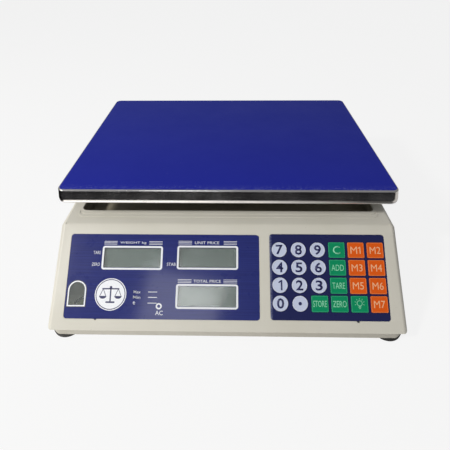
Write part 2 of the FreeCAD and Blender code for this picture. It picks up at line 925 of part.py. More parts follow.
def make_pads():
    solids = []
    for x, y in pad_spots:
        pad = rod(x, y, pad_radius, pad_seat_z, pad_top_z)
        solids.append(pad.makeFillet(pad_edge_round, top_edges(pad, pad_top_z)))
    return Part.makeCompound(solids)


def make_load_cell():
    half = cell_length / 2
    middle_z = cell_z + cell_height / 2
    bar = box(-half, half, tray_y - cell_width / 2, tray_y + cell_width / 2, cell_z, cell_top_z)
    tools = []
    for sign in (-1, 1):
        bore = Part.makeCylinder(
            cell_bore / 2,
            cell_width + 2,
            Vec(sign * cell_bore_spacing / 2, tray_y - cell_width / 2 - 1, middle_z),
            Vec(0, 1, 0),
        )
        tools.append(bore)
    tools.append(
        centred_box(
            0, tray_y, cell_bore_spacing, cell_width + 2, middle_z - cell_slot / 2, middle_z + cell_slot / 2
        )
    )
    for x, y in cell_screw_spots:
        radius = cell_screw_radius + screw_gap
        depth = cell_screw_depth + 2
        tools.append(rod(x, y, radius, cell_top_z - depth, cell_top_z + 1))
        tools.append(rod(-x, y, radius, cell_z - 1, cell_z + depth))
    return cut_all(bar, tools)


def make_base_spacer():
    spacer = centred_box(
        -cell_seat_x, tray_y, cell_seat - 2, cell_width, chassis_z + chassis_thickness, cell_z
    )
    tools = []
    for x, y in cell_screw_spots:
        tools.append(rod(-x, y, cell_screw_radius + hole_gap, chassis_z, cell_z + 1))
    return cut_all(spacer, tools)


stop_spots = [(cell_seat_x, tray_y + sign * stop_pitch / 2) for sign in (-1, 1)]


def countersunk(x, y, radius, z0, z1, grow):
    # A cone whose wide end is flush with the underside of the chassis.
    return Part.makeCone(radius + grow, cell_screw_radius + grow, z1 - z0, Vec(x, y, z0))


def make_chassis():
    plate = rounded_slab(
        0, tray_y, chassis_length, chassis_width, chassis_radius, chassis_z, chassis_z + chassis_thickness
    )
    tools = []
    for x, y in chassis_spots:
        tools.append(rod(x, y, housing_screw_radius + hole_gap, chassis_z - 1, far))
    for x, y in cell_screw_spots:
        tools.append(rod(-x, y, cell_screw_radius + hole_gap, chassis_z - 1, far))
        tools.append(
            countersunk(-x, y, 2 * cell_screw_radius, chassis_z, chassis_z + chassis_thickness, hole_gap)
        )
    for x, y in stop_spots:
        tools.append(rod(x, y, cell_screw_radius + screw_gap, chassis_z - 1, far))
    length, width, radius = chassis_window
    for sign in (-1, 1):
        y = tray_y + sign * chassis_window_offset
        tools.append(rounded_slab(0, y, length, width, radius, chassis_z - 1, far))
    return cut_all(plate, tools)


def make_base_screws():
    solids = []
    for x, y in cell_screw_spots:
        head = countersunk(
            -x, y, 2 * cell_screw_radius, chassis_z, chassis_z + chassis_thickness, 0
        )
        shank = rod(-x, y, cell_screw_radius, chassis_z + 1, cell_z + cell_screw_depth)
        solid = joined([head, shank])
        slot = centred_box(-x, y, 6 * cell_screw_radius, 1.4, chassis_z - 1, chassis_z + 1)
        solids.append(solid.cut(slot))
    return Part.makeCompound(solids)


def cap_screw(x, y, radius, head_radius, head_height, seat_z, length):
    # A socket head screw that stands head up on seat_z.
    head = rod(x, y, head_radius, seat_z, seat_z + head_height)
    shank = rod(x, y, radius, seat_z - length, seat_z + 1)
    socket = rod(x, y, head_radius / 2, seat_z + head_height / 2, seat_z + head_height + 1)
    return joined([head, shank]).cut(socket)


def make_top_screws():
    solids = []
    seat_z = cell_top_z + bracket_counterbore
    length = bracket_counterbore + cell_screw_depth
    for x, y in cell_screw_spots:
        solids.append(
            cap_screw(x, y, cell_screw_radius, cell_screw_head, cell_screw_head_height, seat_z, length)
        )
    return Part.makeCompound(solids)


def make_chassis_screws():
    solids = []
    seat_z = chassis_z + chassis_thickness
    for x, y in chassis_spots:
        solids.append(
            cap_screw(
                x,
                y,
                housing_screw_radius,
                housing_screw_head,
                chassis_screw_head_height,
                seat_z,
                chassis_screw_length,
            )
        )
    return Part.makeCompound(solids)


def make_overload_stops():
    solids = []
    plate_top = chassis_z + chassis_thickness
    for x, y in stop_spots:
        screw = rod(x, y, cell_screw_radius, chassis_z - 3, cell_z - stop_gap)
        solids.append(screw)
        corners = []
        for corner in range(7):
            angle = math.radians(60 * corner)
            corners.append(
                Vec(x + stop_nut_radius * math.cos(angle), y + stop_nut_radius * math.sin(angle), plate_top)
            )
        nut = Part.Face(Part.makePolygon(corners)).extrude(Vec(0, 0, stop_nut_height))
        solids.append(nut.cut(rod(x, y, cell_screw_radius + screw_gap, chassis_z, far)))
    return Part.makeCompound(solids)


add("platform_bracket", make_platform_bracket())
add("platform_pads", make_pads())
add("load_cell", make_load_cell())
add("cell_base_spacer", make_base_spacer())
add("chassis_plate", make_chassis())
add("cell_base_screws", make_base_screws())
add("cell_top_screws", make_top_screws())
add("chassis_screws", make_chassis_screws())
add("overload_stops", make_overload_stops())


# Feet and shell screws -------------------------------------------------------


def make_foot(x, y):
    pad = rod(x, y, foot_radius, 0, foot_height)
    pad = pad.makeFillet(foot_edge_round, pad.Edges)
    stud = rod(x, y, foot_stud_radius, 1.0, foot_stud_top)
    return joined([pad, stud])


for place, spot in foot_spots.items():
    add("foot_" + place, make_foot(spot[0], spot[1]))


def make_housing_screws():
    solids = []
    seat_z = base_z + housing_screw_recess
    top_z = housing_seam_z + housing_screw_bite - 1
    for x, y in screw_spots:
        head = rod(x, y, housing_screw_head, seat_z - housing_screw_head_height, seat_z)
        shank = rod(x, y, housing_screw_radius, seat_z - 1, top_z)
        slot = centred_box(x, y, 4.0, 0.8, seat_z - housing_screw_head_height - 1, seat_z - 1)
        cross = centred_box(x, y, 0.8, 4.0, seat_z - housing_screw_head_height - 1, seat_z - 1)
        solids.append(joined([head, shank]).cut(slot).cut(cross))
    return Part.makeCompound(solids)


add("housing_screws", make_housing_screws())


# Face panels, windows, displays and boards -----------------------------------


def make_display_overlay():
    sheet = panel_slab(
        display_left,
        display_top_margin,
        display_width,
        display_height,
        panel_radius,
        0,
        panel_floor,
        panel_top,
    )
    tools = lcd_windows(display_left, display_top_margin, lcd_window_places, 0, -2, 1)
    tools.append(arch_solid(0, -2, 1))
    return set_on(face_place, cut_all(sheet, tools))


def make_display_windows():
    z1 = panel_top - rest_gap
    solids = lcd_windows(display_left, display_top_margin, lcd_window_places, -screw_gap, panel_floor, z1)
    solids.append(arch_solid(-screw_gap, panel_floor, z1))
    return set_on(face_place, Part.makeCompound(solids))


def make_keypad_overlay():
    sheet = panel_slab(
        keypad_left,
        keypad_top_margin,
        keypad_width,
        keypad_height,
        panel_radius,
        0,
        panel_floor,
        panel_top,
    )
    tools = []
    for name, row, column in all_keys():
        tools.append(key_solid(name, row, column, slide_gap, -2, 1))
    return set_on(face_place, cut_all(sheet, tools))


def make_key(name, row, column):
    # A cap with a raised rim, on a flange that stays behind the housing wall.
    flange_top = -wall - rest_gap
    body = key_solid(name, row, column, 0, flange_top - 0.2, key_rise)
    body = body.makeFillet(key_edge_round, top_edges(body, key_rise))
    flange = key_solid(name, row, column, key_flange, flange_top - key_flange_thickness, flange_top)
    dish = key_solid(name, row, column, -key_rim, key_rise - key_dish, key_rise + 1)
    return set_on(face_place, joined([body, flange]).cut(dish))


def flat_board(left, right, top, bottom, z_top):
    return box(left, right, -bottom, -top, z_top - board_thickness, z_top)


def make_keypad_board():
    board = flat_board(
        keypad_board_left, keypad_board_right, keypad_board_top, keypad_board_bottom, keypad_board_z
    )
    switch_top = keypad_board_z + tact_switch_height - rest_gap
    solids = [board]
    for name, row, column in all_keys():
        x, y = key_centre(row, column)
        solids.append(
            centred_box(x, y, tact_switch_width, tact_switch_width, keypad_board_z - 0.5, switch_top)
        )
    return set_on(face_place, joined(solids))


def make_lcds(left, top, places, placement):
    solids = lcd_windows(left, top, places, lcd_border, board_top, board_top + lcd_thickness)
    return set_on(placement, Part.makeCompound(solids))


add("display_overlay", make_display_overlay())
add("display_windows", make_display_windows())
add("front_lcds", make_lcds(display_left, display_top_margin, lcd_window_places, face_place))
add(
    "front_display_board",
    set_on(
        face_place,
        flat_board(
            display_board_left, display_board_right, display_board_top, display_board_bottom, board_top
        ),
    ),
)
add("keypad_overlay", make_keypad_overlay())
add("keypad_board", make_keypad_board())
for name, row, column in all_keys():
    add("key_" + name, make_key(name, row, column))

rear_sheet = panel_slab(
    -rear_half, rear_top, rear_panel_width, rear_panel_height, panel_radius, 0, panel_floor, panel_top
)
rear_sheet = cut_all(rear_sheet, lcd_windows(-rear_half, rear_top, rear_window_places, 0, -2, 1))
rear_windows = lcd_windows(
    -rear_half, rear_top, rear_window_places, -screw_gap, panel_floor, panel_top - rest_gap
)
rear_bottom = rear_top + rear_panel_height
add("rear_overlay", set_on(rear_place, rear_sheet))
add("rear_windows", set_on(rear_place, Part.makeCompound(rear_windows)))
add("rear_lcds", make_lcds(-rear_half, rear_top, rear_window_places, rear_place))
add(
    "rear_display_board",
    set_on(
        rear_place, flat_board(rear_board_left, rear_board_right, rear_top + 2, rear_bottom - 2, board_top)
    ),
)


# Main board, battery and transformer ------------------------------------------


def make_main_board():
    z1 = main_board_z + board_thickness
    board = centred_box(main_board_x, main_board_y, main_board_length, main_board_width, main_board_z, z1)
    solids = [board]
    for offset_x, offset_y, size_x, size_y, height in main_board_blocks:
        x = main_board_x + offset_x
        y = main_board_y + offset_y
        solids.append(centred_box(x, y, size_x, size_y, z1 - 0.5, z1 + height))
    for offset_x, offset_y, radius, height in main_board_cans:
        x = main_board_x + offset_x
        y = main_board_y + offset_y
        solids.append(rod(x, y, radius, z1 - 0.5, z1 + height))
    return joined(solids)


def make_battery():
    z0 = battery_shelf_z
    z1 = z0 + battery_height
    terminal_x, terminal_y, terminal_z = battery_terminal
    lid_z = z1 - terminal_z
    case = rounded_slab(battery_x, battery_y, battery_length, battery_width, 2, z0, lid_z - battery_lid / 2)
    lid = rounded_slab(
        battery_x, battery_y, battery_length - 2, battery_width - 2, 2, lid_z - battery_lid, lid_z
    )
    solids = [case, lid]
    for sign in (-1, 1):
        x = battery_x + battery_length / 2 - battery_terminal_inset
        y = battery_y + sign * (battery_width / 2 - battery_terminal_inset)
        solids.append(centred_box(x, y, terminal_x, terminal_y, lid_z - 1, z1))
    return joined(solids)


def make_battery_door():
    z1 = base_z + battery_door_thickness
    plate = centred_box(battery_x, battery_y, battery_length, battery_width, base_z, z1)
    ribs = []
    rib_top = base_z + door_rib_width / 2
    for index in range(5):
        x = battery_x + battery_length / 2 - battery_terminal_inset - door_rib_pitch * index
        ribs.append(centred_box(x, battery_y, door_rib_width, battery_width / 2, base_z - 1, rib_top))
    return cut_all(plate, ribs)


def make_transformer():
    x = transformer_x
    y = transformer_y
    z0 = floor_z
    from_end, from_base = transformer_window
    foot_width, foot_thickness = transformer_foot_size
    top_z = z0 + transformer_height
    core = centred_box(x, y, transformer_length, transformer_core, z0, top_z)
    coil = rounded_slab(
        x, y, transformer_length - 2 * from_end, transformer_width, 5, z0 + from_base, top_z - from_base
    )
    foot = centred_box(x, y, transformer_length + 2 * transformer_foot, foot_width, z0, z0 + foot_thickness)
    tools = []
    for sign in (-1, 1):
        hole_x = x + sign * (transformer_length / 2 + transformer_foot / 2)
        tools.append(rod(hole_x, y, housing_screw_radius + hole_gap, z0 - 1, z0 + foot_thickness + 1))
    return cut_all(joined([core, coil, foot]), tools)


add("main_board", make_main_board())
add("battery", make_battery())
add("battery_door", make_battery_door())
add("transformer", make_transformer())


# Level vial --------------------------------------------------------------------


def make_level_vial():
    top_z = vial_seat_z + vial_height
    lens_radius, crown_radius = vial_lens
    rim = rod(vial_x, vial_y, vial_radius, vial_seat_z, top_z)
    rim = rim.makeFillet(vial_edge_round, top_edges(rim, top_z))
    recess = rod(vial_x, vial_y, vial_radius - vial_rim, top_z - vial_recess, far)
    lens = Part.makeSphere(crown_radius, Vec(vial_x, vial_y, top_z - vial_crown_drop - crown_radius))
    lens = lens.common(rod(vial_x, vial_y, lens_radius, vial_seat_z + 1, far))
    return joined([rim.cut(recess), lens])


add("level_vial", make_level_vial())


# Switch and inlet ----------------------------------------------------------------


def make_switch_body():
    x, y = switch_place
    bezel = rounded_slab(x, y, switch_bezel[0], switch_bezel[1], 1.5, 0, switch_bezel[2])
    case = centred_box(x, y, switch_case[0], switch_case[1], -switch_case[2], 0.5)
    pocket = centred_box(
        x, y, switch_pocket[0], switch_pocket[1], -switch_pocket[2], switch_bezel[2] + 1
    )
    solids = [joined([bezel, case]).cut(pocket)]
    for sign in (-1, 1):
        solids.append(centred_box(x + sign * 5, y, 0.8, 4.8, -switch_case[2] - 7, -switch_case[2] + 1))
    return set_on(seat_place, joined(solids))


def make_rocker():
    # Seen along its pivot, the rocker is a shallow roof over a short tail.
    half = rocker_half_length
    outline = [(-half, 0.6), (0, 2.0), (half, 0.6), (half, -0.4), (2.6, -2.6), (-2.6, -2.6), (-half, -0.4)]
    points = [Vec(px, -rocker_width / 2, pz) for px, pz in outline]
    solid = Part.Face(Part.makePolygon(points + points[:1])).extrude(Vec(0, rocker_width, 0))
    solid.rotate(Vec(0, 0, 0), Vec(0, 1, 0), -rocker_tilt)
    solid.translate(Vec(switch_place[0], switch_place[1], 0))
    return set_on(seat_place, solid)


def make_inlet():
    x, y = inlet_place
    bezel = rounded_slab(x, y, inlet_bezel[0], inlet_bezel[1], 2, 0, inlet_bezel[2])
    case = centred_box(x, y, inlet_case[0], inlet_case[1], -inlet_case[2], 0.5)
    socket = centred_box(
        x,
        y,
        inlet_socket[0],
        inlet_socket[1],
        inlet_bezel[2] - inlet_socket[2],
        inlet_bezel[2] + 1,
    )
    upright = []
    for edge in socket.Edges:
        middle = edge.CenterOfMass
        if edge.BoundBox.ZLength > 5 and middle.y > y:
            upright.append(edge)
    socket = socket.makeChamfer(inlet_socket_chamfer, upright)
    solids = [joined([bezel, case]).cut(socket)]
    pin_z0 = inlet_bezel[2] - inlet_socket[2] - 1
    for offset_x, offset_y in (
        (-inlet_pin_spacing / 2, 0),
        (inlet_pin_spacing / 2, 0),
        (0, inlet_earth_rise),
    ):
        solids.append(
            centred_box(x + offset_x, y + offset_y, inlet_pin[0], inlet_pin[1], pin_z0, pin_z0 + inlet_pin[2])
        )
    return set_on(seat_place, joined(solids))


add("switch_body", make_switch_body())
add("switch_rocker", make_rocker())
add("power_inlet", make_inlet())

os.makedirs("parts", exist_ok=True)
for node, shape in parts.items():
    shape.exportStep("parts/" + node + ".step")
    print(node, len(shape.Solids), "solid(s)", round(shape.Volume / 1000.0, 2), "cm3", shape.isValid())

pivot = seat_place.multVec(Vec(switch_place[0], switch_place[1], 0))
print("rocker pivot", pivot, "axis", side_place.Rotation.multVec(Vec(0, 1, 0)))
print("key push", face_place.Rotation.multVec(Vec(0, 0, -1)))
socket_mouth = seat_place.multVec(Vec(inlet_place[0], inlet_place[1], inlet_bezel[2]))
print("inlet mouth", socket_mouth, "feet", foot_spots)
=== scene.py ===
import json
import math

import bmesh
import bpy
from mathutils import Matrix, Vector, noise


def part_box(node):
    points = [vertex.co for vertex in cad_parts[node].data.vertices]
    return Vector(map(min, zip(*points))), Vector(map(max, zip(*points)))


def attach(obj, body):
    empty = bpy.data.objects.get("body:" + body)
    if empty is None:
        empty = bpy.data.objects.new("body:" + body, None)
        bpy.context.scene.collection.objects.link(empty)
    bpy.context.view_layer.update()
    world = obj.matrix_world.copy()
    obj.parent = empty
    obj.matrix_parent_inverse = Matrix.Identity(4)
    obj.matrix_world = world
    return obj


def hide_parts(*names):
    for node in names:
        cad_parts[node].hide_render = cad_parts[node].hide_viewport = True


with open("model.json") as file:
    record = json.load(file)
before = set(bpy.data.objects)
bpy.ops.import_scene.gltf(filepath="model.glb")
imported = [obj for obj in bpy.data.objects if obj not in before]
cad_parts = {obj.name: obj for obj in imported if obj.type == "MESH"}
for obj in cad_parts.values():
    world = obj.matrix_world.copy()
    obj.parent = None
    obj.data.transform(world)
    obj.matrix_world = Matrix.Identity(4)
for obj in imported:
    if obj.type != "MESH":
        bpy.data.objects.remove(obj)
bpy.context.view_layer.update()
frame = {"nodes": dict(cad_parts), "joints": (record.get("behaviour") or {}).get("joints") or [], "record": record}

nodes = frame["nodes"]
mm = 0.001
print("frame loaded,", len(nodes), "nodes")


# The sloping face has its own axes: across, up the slope, and out of it.
# A key is pressed straight into the face, so its joint gives the outward direction.
pressJoints = [j for j in frame["joints"] if j["name"] == "key_7_press"]
outward = -Vector(pressJoints[0]["axis"]).normalized()
upSlope = Vector((0, outward.z, -outward.y))
faceTurn = Matrix((Vector((1, 0, 0)), upSlope, outward)).transposed().to_4x4()


def corners(points):
    low = Vector([min(p[axis] for p in points) for axis in range(3)])
    high = Vector([max(p[axis] for p in points) for axis in range(3)])
    return low, high


def turnedPoints(node, turn):
    back = turn.transposed()
    return [back @ v.co for v in nodes[node].data.vertices]


def faceBox(node):
    # lowest and highest corner of a node, measured along the face's own axes
    return corners(turnedPoints(node, faceTurn))


def faceMatrix(across, up, out):
    # takes a flat drawing in x and y to the face, centred on that point
    return faceTurn @ Matrix.Translation((across, up, out))


# The rear wall leans too. Its panel's mesh gives its outward direction.
def rearTurnFromPanel():
    mesh = nodes["rear_overlay"].data
    widest = max(mesh.polygons, key=lambda p: p.area)
    normal = widest.normal.copy()
    if normal.y < 0:
        normal.negate()
    across = Vector((-1, 0, 0))
    return Matrix((across, normal.cross(across), normal)).transposed().to_4x4()


rearTurn = rearTurnFromPanel()


def tint(red, green, blue):
    # from 0-255 display values to the linear colour a shader wants
    linear = []
    for value in (red, green, blue):
        part = value / 255
        linear.append(part / 12.92 if part <= 0.04045 else ((part + 0.055) / 1.055) ** 2.4)
    return (*linear, 1)


def outputOf(tree):
    return [n for n in tree.nodes if n.bl_idname == "ShaderNodeOutputMaterial"][0]


def newMaterial(name):
    material = bpy.data.materials.new(name)
    material.use_nodes = True
    tree = material.node_tree
    tree.nodes.clear()
    output = tree.nodes.new("ShaderNodeOutputMaterial")
    shader = tree.nodes.new("ShaderNodeBsdfPrincipled")
    tree.links.new(shader.outputs[0], output.inputs[0])
    return material, tree, shader


def addNode(tree, kind, inputs=None, **settings):
    node = tree.nodes.new("ShaderNode" + kind)
    for key, value in settings.items():
        setattr(node, key, value)
    for key, value in (inputs or {}).items():
        if isinstance(value, bpy.types.NodeSocket):
            tree.links.new(value, node.inputs[key])
        else:
            node.inputs[key].default_value = value
    return node


def place(tree, stretch=(1, 1, 1), shift=(0, 0, 0)):
    # object coordinates, squeezed by stretch so that a pattern runs along an axis
    coords = addNode(tree, "TexCoord")
    settings = {"Vector": coords.outputs["Object"], "Scale": stretch, "Location": shift}
    mapping = addNode(tree, "Mapping", settings)
    return mapping.outputs[0]


def grain(tree, size, detail=2.0, rough=0.5, stretch=(1, 1, 1), shift=(0, 0, 0)):
    # soft noise whose blobs are about that size, in metres
    settings = {"Scale": 1 / size, "Detail": detail, "Roughness": rough}
    settings["Vector"] = place(tree, stretch, shift)
    return addNode(tree, "TexNoise", settings).outputs[0]


def remap(tree, value, low, high, newLow=0.0, newHigh=1.0):
    node = addNode(
        tree,
        "MapRange",
        {"Value": value, "From Min": low, "From Max": high, "To Min": newLow, "To Max": newHigh},
    )
    return node.outputs[0]


def times(tree, first, second):
    return addNode(tree, "Math", {0: first, 1: second}, operation="MULTIPLY").outputs[0]


def plus(tree, first, second):
    return addNode(tree, "Math", {0: first, 1: second}, operation="ADD").outputs[0]


def mixColour(tree, factor, first, second, mode="MIX"):
    node = addNode(tree, "Mix", {0: factor, 6: first, 7: second}, data_type="RGBA", blend_type=mode)
    return node.outputs[2]


def bump(tree, height, depth, strength=1.0, under=None):
    inputs = {"Height": height, "Distance": depth, "Strength": strength}
    if under is not None:
        inputs["Normal"] = under
    return addNode(tree, "Bump", inputs).outputs[0]


def alongOutward(tree):
    # height measured out of the sloping face
    coords = addNode(tree, "TexCoord")
    settings = {0: coords.outputs["Object"], 1: tuple(outward)}
    return addNode(tree, "VectorMath", settings, operation="DOT_PRODUCT").outputs["Value"]


def axisOf(tree, index):
    coords = addNode(tree, "TexCoord")
    return addNode(tree, "SeparateXYZ", {0: coords.outputs["Object"]}).outputs[index]


def newPiece(name, bm, materials, body="housing", smoothAngle=None):
    mesh = bpy.data.meshes.new(name)
    bm.to_mesh(mesh)
    bm.free()
    for material in materials:
        mesh.materials.append(material)
    if smoothAngle is not None:
        mesh.shade_smooth()
        mesh.set_sharp_from_angle(angle=math.radians(smoothAngle))
    piece = bpy.data.objects.new(name, mesh)
    bpy.context.scene.collection.objects.link(piece)
    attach(piece, body)
    return piece


def keepFlats(piece):
    # big flat faces keep their own normal beside a small rounding
    weighted = piece.modifiers.new("keepFlats", "WEIGHTED_NORMAL")
    weighted.mode = "FACE_AREA_WITH_ANGLE"
    weighted.weight = 100
    weighted.keep_sharp = True


def smoothTwin(node, name, material, body, angle=35):
    # a welded copy of a CAD node that takes smooth shading
    bm = bmesh.new()
    bm.from_mesh(nodes[node].data)
    bmesh.ops.remove_doubles(bm, verts=bm.verts, dist=0.002 * mm)
    bmesh.ops.dissolve_degenerate(bm, edges=bm.edges, dist=0.001 * mm)
    bmesh.ops.dissolve_limit(bm, angle_limit=math.radians(0.15), verts=bm.verts, edges=bm.edges)
    piece = newPiece(name, bm, [material], body, angle)
    keepFlats(piece)
    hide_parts(node)
    return piece


def dress(node, material):
    mesh = nodes[node].data
    mesh.materials.clear()
    mesh.materials.append(material)


def plate(bm, width, height, radius, segments=8):
    # a flat rounded rectangle round the origin
    made = bmesh.ops.create_grid(bm, x_segments=1, y_segments=1, size=0.5)
    verts = made["verts"]
    bmesh.ops.scale(bm, vec=(width, height, 1), verts=verts)
    if radius > 0:
        bmesh.ops.bevel(
            bm,
            geom=verts,
            offset=radius,
            segments=segments,
            profile=0.5,
            affect="VERTICES",
            material=-1,
            offset_type="OFFSET",
        )
    return max(bm.faces, key=lambda f: f.calc_area())


def inset(bm, face, inwards, upwards=0.0):
    bmesh.ops.inset_region(
        bm, faces=[face], thickness=inwards, depth=upwards, use_even_offset=True, use_boundary=True
    )


def thicken(bm, faces, depth):
    # gives flat faces that look along +z a thickness upwards, closed underneath
    grown = bmesh.ops.extrude_face_region(bm, geom=list(faces), use_keep_orig=True)
    top = [g for g in grown["geom"] if isinstance(g, bmesh.types.BMVert)]
    bmesh.ops.translate(bm, vec=(0, 0, depth), verts=top)
    bmesh.ops.recalc_face_normals(bm, faces=bm.faces)


def hollow(bm, face, line, depth):
    # leaves a rim of that width round the inside of a flat face, and thickens it
    inset(bm, face, line)
    bmesh.ops.delete(bm, geom=[face], context="FACES")
    thicken(bm, list(bm.faces), depth)
    return bm


def plateRing(width, height, radius, line, depth):
    # a printed outline: the outer edge has that size and the line runs inside it
    bm = bmesh.new()
    face = plate(bm, width, height, radius)
    return hollow(bm, face, line, depth)


def disc(radius, depth, segments=48):
    bm = bmesh.new()
    bmesh.ops.create_circle(bm, cap_ends=True, radius=radius, segments=segments)
    thicken(bm, list(bm.faces), depth)
    return bm


def discRing(outer, inner, depth, segments=48):
    bm = bmesh.new()
    bmesh.ops.create_circle(bm, cap_ends=True, radius=outer, segments=segments)
    return hollow(bm, bm.faces[:][0], outer - inner, depth)


def bar(width, height, depth, radius=0.0):
    bm = bmesh.new()
    thicken(bm, [plate(bm, width, height, radius, 4)], depth)
    return bm


def lettering(words, height, width, weight, depth):
    # the words as a flat mesh, fitted to a box of that height and width
    curve = bpy.data.curves.new("words", "FONT")
    curve.body = words
    curve.size = 1.0
    curve.offset = weight
    curve.resolution_u = 3
    holder = bpy.data.objects.new("words", curve)
    bpy.context.scene.collection.objects.link(holder)
    bpy.context.view_layer.update()
    mesh = bpy.data.meshes.new_from_object(holder)
    bm = bmesh.new()
    bm.from_mesh(mesh)
    bpy.data.objects.remove(holder)
    bpy.data.meshes.remove(mesh)
    bmesh.ops.remove_doubles(bm, verts=bm.verts, dist=0.0005)
    low, high = corners([v.co for v in bm.verts])
    middle = (low + high) / 2
    size = high - low
    bmesh.ops.translate(bm, vec=-middle, verts=bm.verts)
    bmesh.ops.scale(bm, vec=(width / size.x, height / size.y, 1), verts=bm.verts)
    thicken(bm, list(bm.faces), depth)
    return bm


def collect(target, bm, matrix):
    # adds one drawing to a growing mesh
    bmesh.ops.transform(bm, matrix=matrix, verts=bm.verts)
    mesh = bpy.data.meshes.new("drawing")
    bm.to_mesh(mesh)
    bm.free()
    target.from_mesh(mesh)
    bpy.data.meshes.remove(mesh)


def mouldedPlastic(name, look):
    # textured moulding: slow colour drift, a fine sparked grain, specks and rubbed marks
    material, tree, shader = newMaterial(name)
    drift = grain(tree, 60 * mm, 3)
    colour = mixColour(tree, remap(tree, drift, 0.3, 0.7), look["colour"], look["drift"])
    fine = grain(tree, 0.7 * mm, 2)
    colour = mixColour(tree, remap(tree, fine, 0.35, 0.75, 0, 0.12), colour, look["grainColour"])
    specks = grain(tree, 1.3 * mm, 1, shift=(3, 1, 2))
    patches = grain(tree, 25 * mm, 2, shift=(5, 2, 1))
    marks = times(tree, remap(tree, specks, 0.73, 0.78), remap(tree, patches, 0.5, 0.62))
    colour = mixColour(tree, times(tree, marks, look["marks"]), colour, look["markColour"])
    tree.links.new(colour, shader.inputs["Base Color"])
    rough = remap(tree, grain(tree, 8 * mm, 3), 0.3, 0.7, look["rough"] - 0.05, look["rough"] + 0.06)
    tree.links.new(rough, shader.inputs["Roughness"])
    sparked = grain(tree, 0.45 * mm, 3, 0.6)
    tree.links.new(bump(tree, sparked, look["grainDepth"], 0.6), shader.inputs["Normal"])
    if "dustAndShade" in look:
        # the well under the tray is painted dark brown: painted shade for the shadow the tray casts into it
        low, high = look["dustAndShade"]
        inside = remap(tree, axisOf(tree, 2), high.z, high.z - 1.5 * mm)
        for axis in (0, 1):
            where = axisOf(tree, axis)
            inside = times(tree, inside, remap(tree, where, low[axis] - 3 * mm, low[axis] - 2 * mm))
            inside = times(tree, inside, remap(tree, where, high[axis] + 3 * mm, high[axis] + 2 * mm))
        colour = mixColour(tree, times(tree, inside, look["paintedShadeShare"]), colour, look["paintedShadeColour"])
        tree.links.new(colour, shader.inputs["Base Color"])
    shader.inputs["Specular IOR Level"].default_value = 0.4
    return material


openings = frame["record"]["physics"]["openings"]
wellBoxes = [o["box_m"] for o in openings if o["name"].startswith("well_")]
wellLow, wellHigh = corners([corner for box in wellBoxes for corner in box])
housingLook = {
    "colour": tint(217, 214, 204),
    "drift": tint(211, 208, 196),
    "grainColour": tint(196, 190, 178),
    "markColour": tint(120, 112, 98),
    "marks": 0.35,
    "rough": 0.48,
    "grainDepth": 0.03 * mm,
    # the box of the well, which is painted darker as painted shade
    "dustAndShade": (wellLow, wellHigh),
    "paintedShadeColour": tint(118, 110, 88),
    "paintedShadeShare": 0.85,
}
# the same plastic as the upper housing, painted darker: painted shade for the upright lower band
shadedBaseLook = {
    "colour": tint(203, 199, 189),
    "drift": tint(195, 191, 179),
    "grainColour": tint(186, 180, 168),
    "markColour": tint(96, 90, 80),
    "marks": 0.6,
    "rough": 0.5,
    "grainDepth": 0.03 * mm,
}
housingPlastic = mouldedPlastic("housingPlastic", housingLook)
shadedBasePlastic = mouldedPlastic("shadedBasePlastic", shadedBaseLook)


def polishedSheet():
    # bright pressed steel with faint drawing lines round the rim and handling haze
    look = {"colour": tint(232, 231, 234), "dull": tint(214, 212, 214), "rough": 0.13, "haze": 0.24}
    material, tree, shader = newMaterial("traySteel")
    lines = grain(tree, 2 * mm, 3, 0.6, (0.05, 0.05, 12))
    haze = grain(tree, 30 * mm, 4, 0.6)
    colour = mixColour(tree, remap(tree, lines, 0.35, 0.65), look["colour"], look["dull"])
    tree.links.new(colour, shader.inputs["Base Color"])
    rough = remap(tree, haze, 0.35, 0.7, look["rough"], look["haze"])
    tree.links.new(rough, shader.inputs["Roughness"])
    tree.links.new(bump(tree, lines, 0.004 * mm, 0.5), shader.inputs["Normal"])
    shader.inputs["Metallic"].default_value = 1
    return material


traySteel = polishedSheet()


def filmBlue():
    # protective film: even blue, softly wavy, with dust that gathers along the front edge
    look = {
        "colour": tint(28, 38, 154),
        "back": tint(34, 46, 146),
        "dust": tint(150, 156, 205),
        "edgeReach": 9 * mm,
    }
    low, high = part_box("tray_film")
    material, tree, shader = newMaterial("filmBlue")
    depth = axisOf(tree, 1)
    colour = mixColour(tree, remap(tree, depth, low.y, high.y), look["colour"], look["back"])
    cloud = grain(tree, 45 * mm, 3)
    colour = mixColour(tree, remap(tree, cloud, 0.3, 0.7, 0, 0.12), colour, tint(34, 42, 128))
    fine = grain(tree, 0.8 * mm, 2, shift=(1, 4, 2))
    colour = mixColour(tree, remap(tree, fine, 0.55, 0.75, 0, 0.22), colour, tint(70, 80, 175))
    frontEdge = remap(tree, depth, low.y + look["edgeReach"], low.y, 0, 1)
    flecks = remap(tree, grain(tree, 0.9 * mm, 1, shift=(7, 3, 1)), 0.6, 0.66)
    sparse = remap(tree, grain(tree, 1.1 * mm, 1, shift=(2, 8, 4)), 0.78, 0.82, 0, 0.5)
    dust = plus(tree, times(tree, flecks, times(tree, frontEdge, 0.5)), sparse)
    colour = mixColour(tree, dust, colour, look["dust"])
    tree.links.new(colour, shader.inputs["Base Color"])
    rough = remap(tree, cloud, 0.3, 0.7, 0.42, 0.52)
    tree.links.new(rough, shader.inputs["Roughness"])
    waves = bump(tree, grain(tree, 28 * mm, 2), 0.12 * mm, 0.5)
    tree.links.new(bump(tree, fine, 0.01 * mm, 0.5, waves), shader.inputs["Normal"])
    shader.inputs["Specular IOR Level"].default_value = 0.12
    return material


trayFilm = filmBlue()


